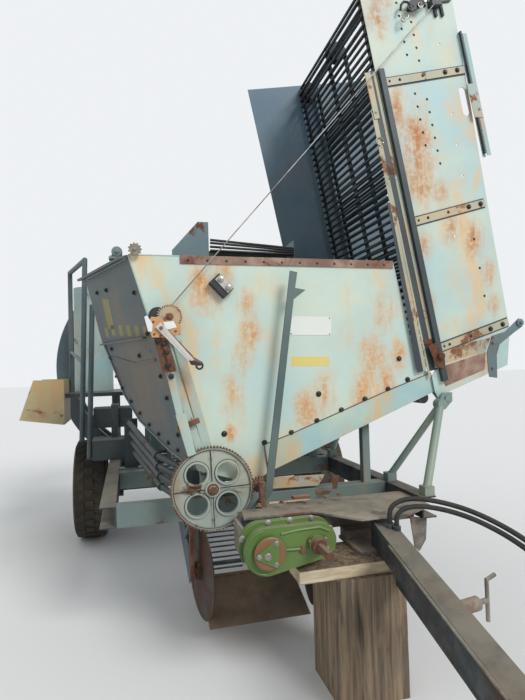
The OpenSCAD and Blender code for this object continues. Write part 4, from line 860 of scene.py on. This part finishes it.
def lift_details():
    """Bolts, clips, cross strips, foot and brackets of the elevator's near wall, with painted shadows
    beside the strips and the rail and painted shade in its holes.
    """
    bolts = Kit("elevator")
    for v, u, r in [(164, 1932, 0.006), (334, 1946, 0.006), (503, 1957, 0.011), (597, 1964, 0.011),
                    (162, 1047, 0.006), (316, 1062, 0.006), (474, 1075, 0.011), (567, 1082, 0.011),
                    (130, 236, 0.006), (296, 256, 0.006), (450, 272, 0.011), (548, 283, 0.011),
                    (90, 1928, 0.005), (92, 1040, 0.005), (90, 232, 0.005)]:
        bolts.bolt(lift(v, NEAR_Y - 9, u), r)
    for v, u in [(455, 2402), (493, 2384), (440, 2436), (560, 2440), (520, 2424)]:
        bolts.bolt(lift(v, NEAR_Y, u), 0.010)
    bolts.make("lift_bolts", "black")
    clip = Kit("elevator")
    clip.lift_plate(NEAR_Y - 6, [(-72, 1990), (-32, 1990), (-32, 1702), (-68, 1700)], 6)
    clip.lift_plate(NEAR_Y, [(-60, 1992), (-46, 1992), (-46, 60), (-60, 60)], 5)
    clip.bolt(lift(-52, NEAR_Y - 12, 1905), 0.010)
    clip.bolt(lift(-50, NEAR_Y - 12, 1740), 0.007)
    clip.lift_plate(NEAR_Y - 5, [(-14, 1990), (6, 1990), (14, 110), (-4, 110)], 2)
    clip.lift_plate(NEAR_Y - 2, [(-76, 1760), (-58, 1700), (-66, 110), (-90, 110)], 4)
    clip.make("rail_clip", "strip", 0.001)
    rows = Kit("elevator")
    for strip in CROSS_STRIPS:
        rows.lift_plate(NEAR_Y - 7.6, strip_outline(*strip, -24, 24), 1.6)
    rows.make("lift_rows", "strip", 0.0006)
    # painted shadows: dark bands above and below each cross strip and a dark strip along the rail
    shade = Kit("elevator")
    for strip in CROSS_STRIPS:
        for edge in (-32, 24):
            shade.lift_plate(NEAR_Y, strip_outline(*strip, edge, edge + 8), 3)
    shade.lift_plate(NEAR_Y - 2, [(-96, 1180), (-76, 1180), (-88, 110), (-132, 110)], 2.5)
    shade.make("lift_painted_shadows", "night")
    # painted shade: black sheets just behind the wall's holes
    lining = Kit("elevator")
    for outline in [[(232, 2480), (368, 2480), (380, 1320), (232, 1320)],
                    [(410, 1340), (470, 1340), (470, 1100), (410, 1100)],
                    [(372, 920), (600, 920), (600, 300), (372, 300)]]:
        lining.lift_plate(NEAR_Y + 5.4, outline, -1.2)
    lining.make("hole_painted_shade", "black")
    eye = Kit("elevator")
    eye.tube([lift(-66 + v, NEAR_Y - 12, 1561 + u) for v, u in arc(0, 0, 24, range(0, 300, 20))], 0.004, 8)
    eye.rod(lift(-46, NEAR_Y, 1548), lift(-46, NEAR_Y - 16, 1548), 0.005)
    eye.make("rail_eye", "wire")
    foot = Kit("elevator")
    foot.lift_plate(NEAR_Y - 6, [(-48, 300), (12, 296), (14, 262), (-44, 266)], 5)
    foot.lift_plate(NEAR_Y - 30, [(-40, 262), (20, 266), (58, 150), (40, 96), (-10, 120)], 5)
    foot.turn(lift(30, NEAR_Y - 30, 180), OUT, [(0, 0.022), (0.026, 0.022), (0.028, 0.018)], 20)
    foot.make("rail_foot", "rust", 0.0015)
    skin = Kit("elevator")
    skin.lift_plate(NEAR_Y, [(73, 222), (440, 214), (384, 140), (34, 122)], 2.5)
    skin.make("foot_plate", "strip", 0.0006)
    patch = Kit("elevator")
    patch.lift_plate(NEAR_Y, [(38, 108), (384, 132), (350, 24), (44, -18)], 2.5)
    patch.make("foot_patch", "rail", 0.0006)
    arm = Kit("elevator")
    arm.lift_plate(NEAR_Y, [(452, 224), (560, 232), (684, 298), (708, 262), (700, 238), (627, 212),
                            (500, 160), (462, 97), (430, -50), (372, -30), (392, 126), (438, 197)], 4)
    arm.turn(lift(684, NEAR_Y - 4, 268), OUT, [(0, 0.026), (0.010, 0.026), (0.013, 0.020)], 24)
    arm.bolt(lift(684, NEAR_Y - 17, 268), 0.011)
    arm.bolt(lift(452, NEAR_Y - 4, 180), 0.010)
    arm.bolt(lift(410, NEAR_Y - 4, 20), 0.009)
    arm.make("foot_arm", "shade", 0.0012)
    bar = Kit("elevator")
    bar.lift_plate(NEAR_Y - 20, [(682, 2193), (712, 2192), (712, 1384), (682, 1386)], 5)
    bar.lift_plate(NEAR_Y - 2, [(662, 2196), (684, 2195), (684, 1380), (662, 1382)], 4)
    bar.lift_plate(NEAR_Y - 25, [(634, 1859), (708, 1860), (708, 1632), (640, 1640)], 4)
    bar.bolt(lift(690, NEAR_Y - 29, 1690), 0.008)
    bar.make("edge_bar", "blue", 0.001)


def hook_details():
    """The dark hook, its rings and clamps, and the bar over them."""
    y = -2506
    hook = Kit("elevator")
    bend = [(250, 2352), (262, 2385), (285, 2405), (312, 2402), (330, 2380), (350, 2372)]
    hook.tube([lift(v, y, u) for v, u in bend], 0.008, 8)
    hook.lift_plate(y + 8, [(318, 2404), (402, 2446), (432, 2420), (396, 2362), (330, 2342),
                            (306, 2362)], 10)
    hook.rod(lift(330, NEAR_Y, 2372), lift(330, y - 6, 2372), 0.012)
    hook.make("cable_hook", "black", 0.0015)
    rings = Kit("elevator")
    for v, u, r in [(272, 2312, 20), (252, 2288, 14), (396, 2374, 16)]:
        rings.tube([lift(a, y - 8, b) for a, b in arc(v, u, r, range(0, 361, 18))], 0.0045, 8)
    link = [(386, 2366), (420, 2400), (470, 2414), (560, 2420)]
    rings.tube([lift(v, y - 8, u) for v, u in link], 0.004, 8)
    rings.rod(lift(486, NEAR_Y - 6, 2420), lift(662, NEAR_Y - 6, 2428), 0.006, 10)
    for v, u in [(426, 2392), (452, 2406)]:
        rings.turn(lift(v, y - 10, u), OUT, [(0, 0.010), (0.014, 0.010)], 8)
    rings.make("cable_rings", "wire")
    lugs = Kit("elevator")
    for v in (523, 572):
        lugs.lift_plate(NEAR_Y, [(v - 9, 2398), (v + 9, 2398), (v + 9, 2320), (v - 9, 2320)], 16)
    lugs.lift_plate(NEAR_Y, [(480, 2440), (650, 2446), (650, 2414), (482, 2400)], 10)
    lugs.make("hook_lugs", "frame", 0.0015)


# details of the frame, the drawbar, the wood and the wheels
def frame_details():
    """What stands on the front cross beam and the deck, and the steps' edges."""
    deck_z = 862
    beam_y, bracket_y = -2352, -2500
    light = Kit()
    light.plate(beam_y, [(-42, 940), (345, 930), (300, 866), (-44, 872)], -0.004)
    light.rod(at(-43, FRONT_Y, 811), at(215, FRONT_Y, 806), 0.012)
    light.make("front_channel", "strip", 0.001)
    rusty = Kit()
    rusty.plate(FRONT_Y, [(351, 941), (397, 937), (378, 862), (353, 862)], -0.006)
    rusty.plate(bracket_y, [(229, 880), (320, 866), (309, 850), (231, 850)], -0.010)
    for x, y in [(92, -2700), (-151, -2660), (-20, -2640), (234, -2640), (330, -2600)]:
        rusty.bolt(at(x, y, deck_z), 0.011, UP)
    rusty.box((60, -2600, deck_z), (160, -2560, deck_z + 14))
    rusty.make("deck_brackets", "rust", 0.0015)
    edges = Kit()
    for y, z in [(-800, 1023), (-600, 1272)]:
        edges.box((-1110, y - 2, z - 8), (-780, y + 4, z + 2))
    edges.make("step_edges", "shade", 0.001)


def drawbar_details():
    """The thin rod along the drawbar and the flange beside the deck."""
    rod = Kit("drawbar")
    rod.rod(at(337, -3150, 759), at(219, -4044, 634), 0.006)
    rod.make("drawbar_rod", "wire")
    flange = Kit()
    flange_y = -2720
    flange.plate(flange_y, [(700, 740), (806, 716), (796, 600), (752, 540), (724, 566)], 0.008)
    flange.make("deck_flange", "plate", 0.0015)


def wood_details():
    """The pale sawn faces of the plank over the post."""
    skin = Kit()
    skin.box((-62, -3042, 592), (442, -2878, 649))
    skin.make("plank_faces", "plank", 0.003)


# the tyre's section: across in widths, and radius in parts of the outer one
TYRE_OUTSIDE = [(-0.36, 0.52), (-0.44, 0.66), (-0.49, 0.80), (-0.485, 0.90), (-0.43, 0.962),
                (-0.30, 0.974), (0.30, 0.974), (0.43, 0.962), (0.485, 0.90), (0.49, 0.80),
                (0.44, 0.66), (0.36, 0.52)]
TYRE_INSIDE = [(0.36, 0.52), (0.30, 0.58), (0.0, 0.62), (-0.30, 0.58), (-0.36, 0.52)]
TREAD_LANES = [(-0.44, -0.15), (-0.125, 0.125), (0.15, 0.44)]


def wheel_details(side, sign):
    """A tyre with its tread blocks, shown instead of the CAD tyre, and the wheel bolts."""
    (x0, y0, z0), (x1, y1, z1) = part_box("tyre_" + side)
    middle, width, r = Vector(((x0 + x1) / 2, (y0 + y1) / 2, (z0 + z1) / 2)), x1 - x0, (z1 - z0) / 2

    def spot(w, angle, h):
        return middle + Vector((w, math.cos(angle) * h, math.sin(angle) * h))

    tread = Kit("wheel_" + side)
    steps = 64
    for section in (TYRE_OUTSIDE, TYRE_INSIDE):
        rings = [[spot(w * width, k * math.tau / steps, h * r) for k in range(steps)] for w, h in section]
        for near, far in zip(rings, rings[1:]):
            tread.loft([near, far], False)
    count = 30
    low, high, shoulder = r * 0.93, r * 0.9985, r * 0.968
    for k in range(count):
        for lane, (w0, w1) in enumerate(TREAD_LANES):
            a = (k + (0.5 if lane == 1 else 0.0)) * math.tau / count
            skew = (-1, 0, 1)[lane] * 0.05
            half = 0.62 * math.pi / count
            ends = [(w0 * width, a - skew - half), (w0 * width, a - skew + half),
                    (w1 * width, a + skew + half), (w1 * width, a + skew - half)]
            first = shoulder if lane == 0 else high
            last = shoulder if lane == 2 else high
            tread.loft([[spot(w, angle, low) for w, angle in ends],
                        [spot(w, angle, h) for (w, angle), h in zip(ends, (first, first, last, last))]])
    obj = tread.make("tyre_" + side + "_shown", "tyre", 0.002)
    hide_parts("tyre_" + side)
    (x0, y0, z0), (x1, y1, z1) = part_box("rim_" + side)
    face = x1 if sign > 0 else x0
    bolts = Kit("wheel_" + side)
    for k in range(6):
        a = k * math.tau / 6
        bolts.bolt(Vector((face, middle.y + 0.1 * math.cos(a), middle.z + 0.1 * math.sin(a))),
                   0.011, (sign, 0, 0))
    bolts.make("wheel_bolts_" + side, "zinc")


bunker_front_details()
bunker_edges()
bars_behind()
frame_details()
drawbar_details()
wood_details()
wheel_details("right", -1)
wheel_details("left", 1)
end_wall_details()
winch_details()
gear_details()
gearbox_details()
lift_details()
hook_details()


# stage and light
FLOOR_HALF = 60
SUNS = [("key", (0.50, -1.0, 0.85), 1.9, 22), ("fill", (-0.9, 0.5, 0.7), 0.35, 60)]


def make_floor():
    """The plain pale floor."""
    g = Graph("stage_floor", rough=0.9)
    g.shader.inputs["Base Color"].default_value = (0.80, 0.80, 0.79, 1)
    mesh = bpy.data.meshes.new("floor")
    h = FLOOR_HALF
    mesh.from_pydata([(-h, -h, 0), (h, -h, 0), (h, h, 0), (-h, h, 0)], [], [(0, 1, 2, 3)])
    mesh.materials.append(g.mat)
    floor = bpy.data.objects.new("floor", mesh)
    bpy.context.scene.collection.objects.link(floor)


def make_sky():
    """A pale backdrop for what the camera sees, and a dimmer sky that lights the part."""
    world = bpy.data.worlds.new("studio")
    bpy.context.scene.world = world
    world.use_nodes = True
    tree = world.node_tree
    tree.nodes.clear()
    link = tree.links.new
    out = tree.nodes.new("ShaderNodeOutputWorld")
    seen = tree.nodes.new("ShaderNodeBackground")
    seen.inputs["Color"].default_value = (0.86, 0.88, 0.90, 1)
    seen.inputs["Strength"].default_value = 1.0
    light = tree.nodes.new("ShaderNodeBackground")
    light.inputs["Color"].default_value = (0.93, 0.97, 1.0, 1)
    light.inputs["Strength"].default_value = 0.55
    path = tree.nodes.new("ShaderNodeLightPath")
    shown = path.outputs["Is Camera Ray"]
    for kind in ("Is Glossy Ray", "Is Transmission Ray"):
        either = tree.nodes.new("ShaderNodeMath")
        either.operation = "MAXIMUM"
        link(shown, either.inputs[0])
        link(path.outputs[kind], either.inputs[1])
        shown = either.outputs[0]
    mix = tree.nodes.new("ShaderNodeMixShader")
    link(shown, mix.inputs["Fac"])
    link(light.outputs[0], mix.inputs[1])
    link(seen.outputs[0], mix.inputs[2])
    link(mix.outputs[0], out.inputs["Surface"])


def make_suns():
    """A soft key light from the front and the picture's right, and a weak one from behind."""
    for name, direction, strength, angle in SUNS:
        data = bpy.data.lights.new(name, "SUN")
        data.energy = strength
        data.angle = math.radians(angle)
        lamp = bpy.data.objects.new(name, data)
        lamp.rotation_euler = Vector(direction).to_track_quat("Z", "Y").to_euler()
        bpy.context.scene.collection.objects.link(lamp)


make_floor()
make_sky()
make_suns()
bpy.context.scene.view_settings.view_transform = "Standard"
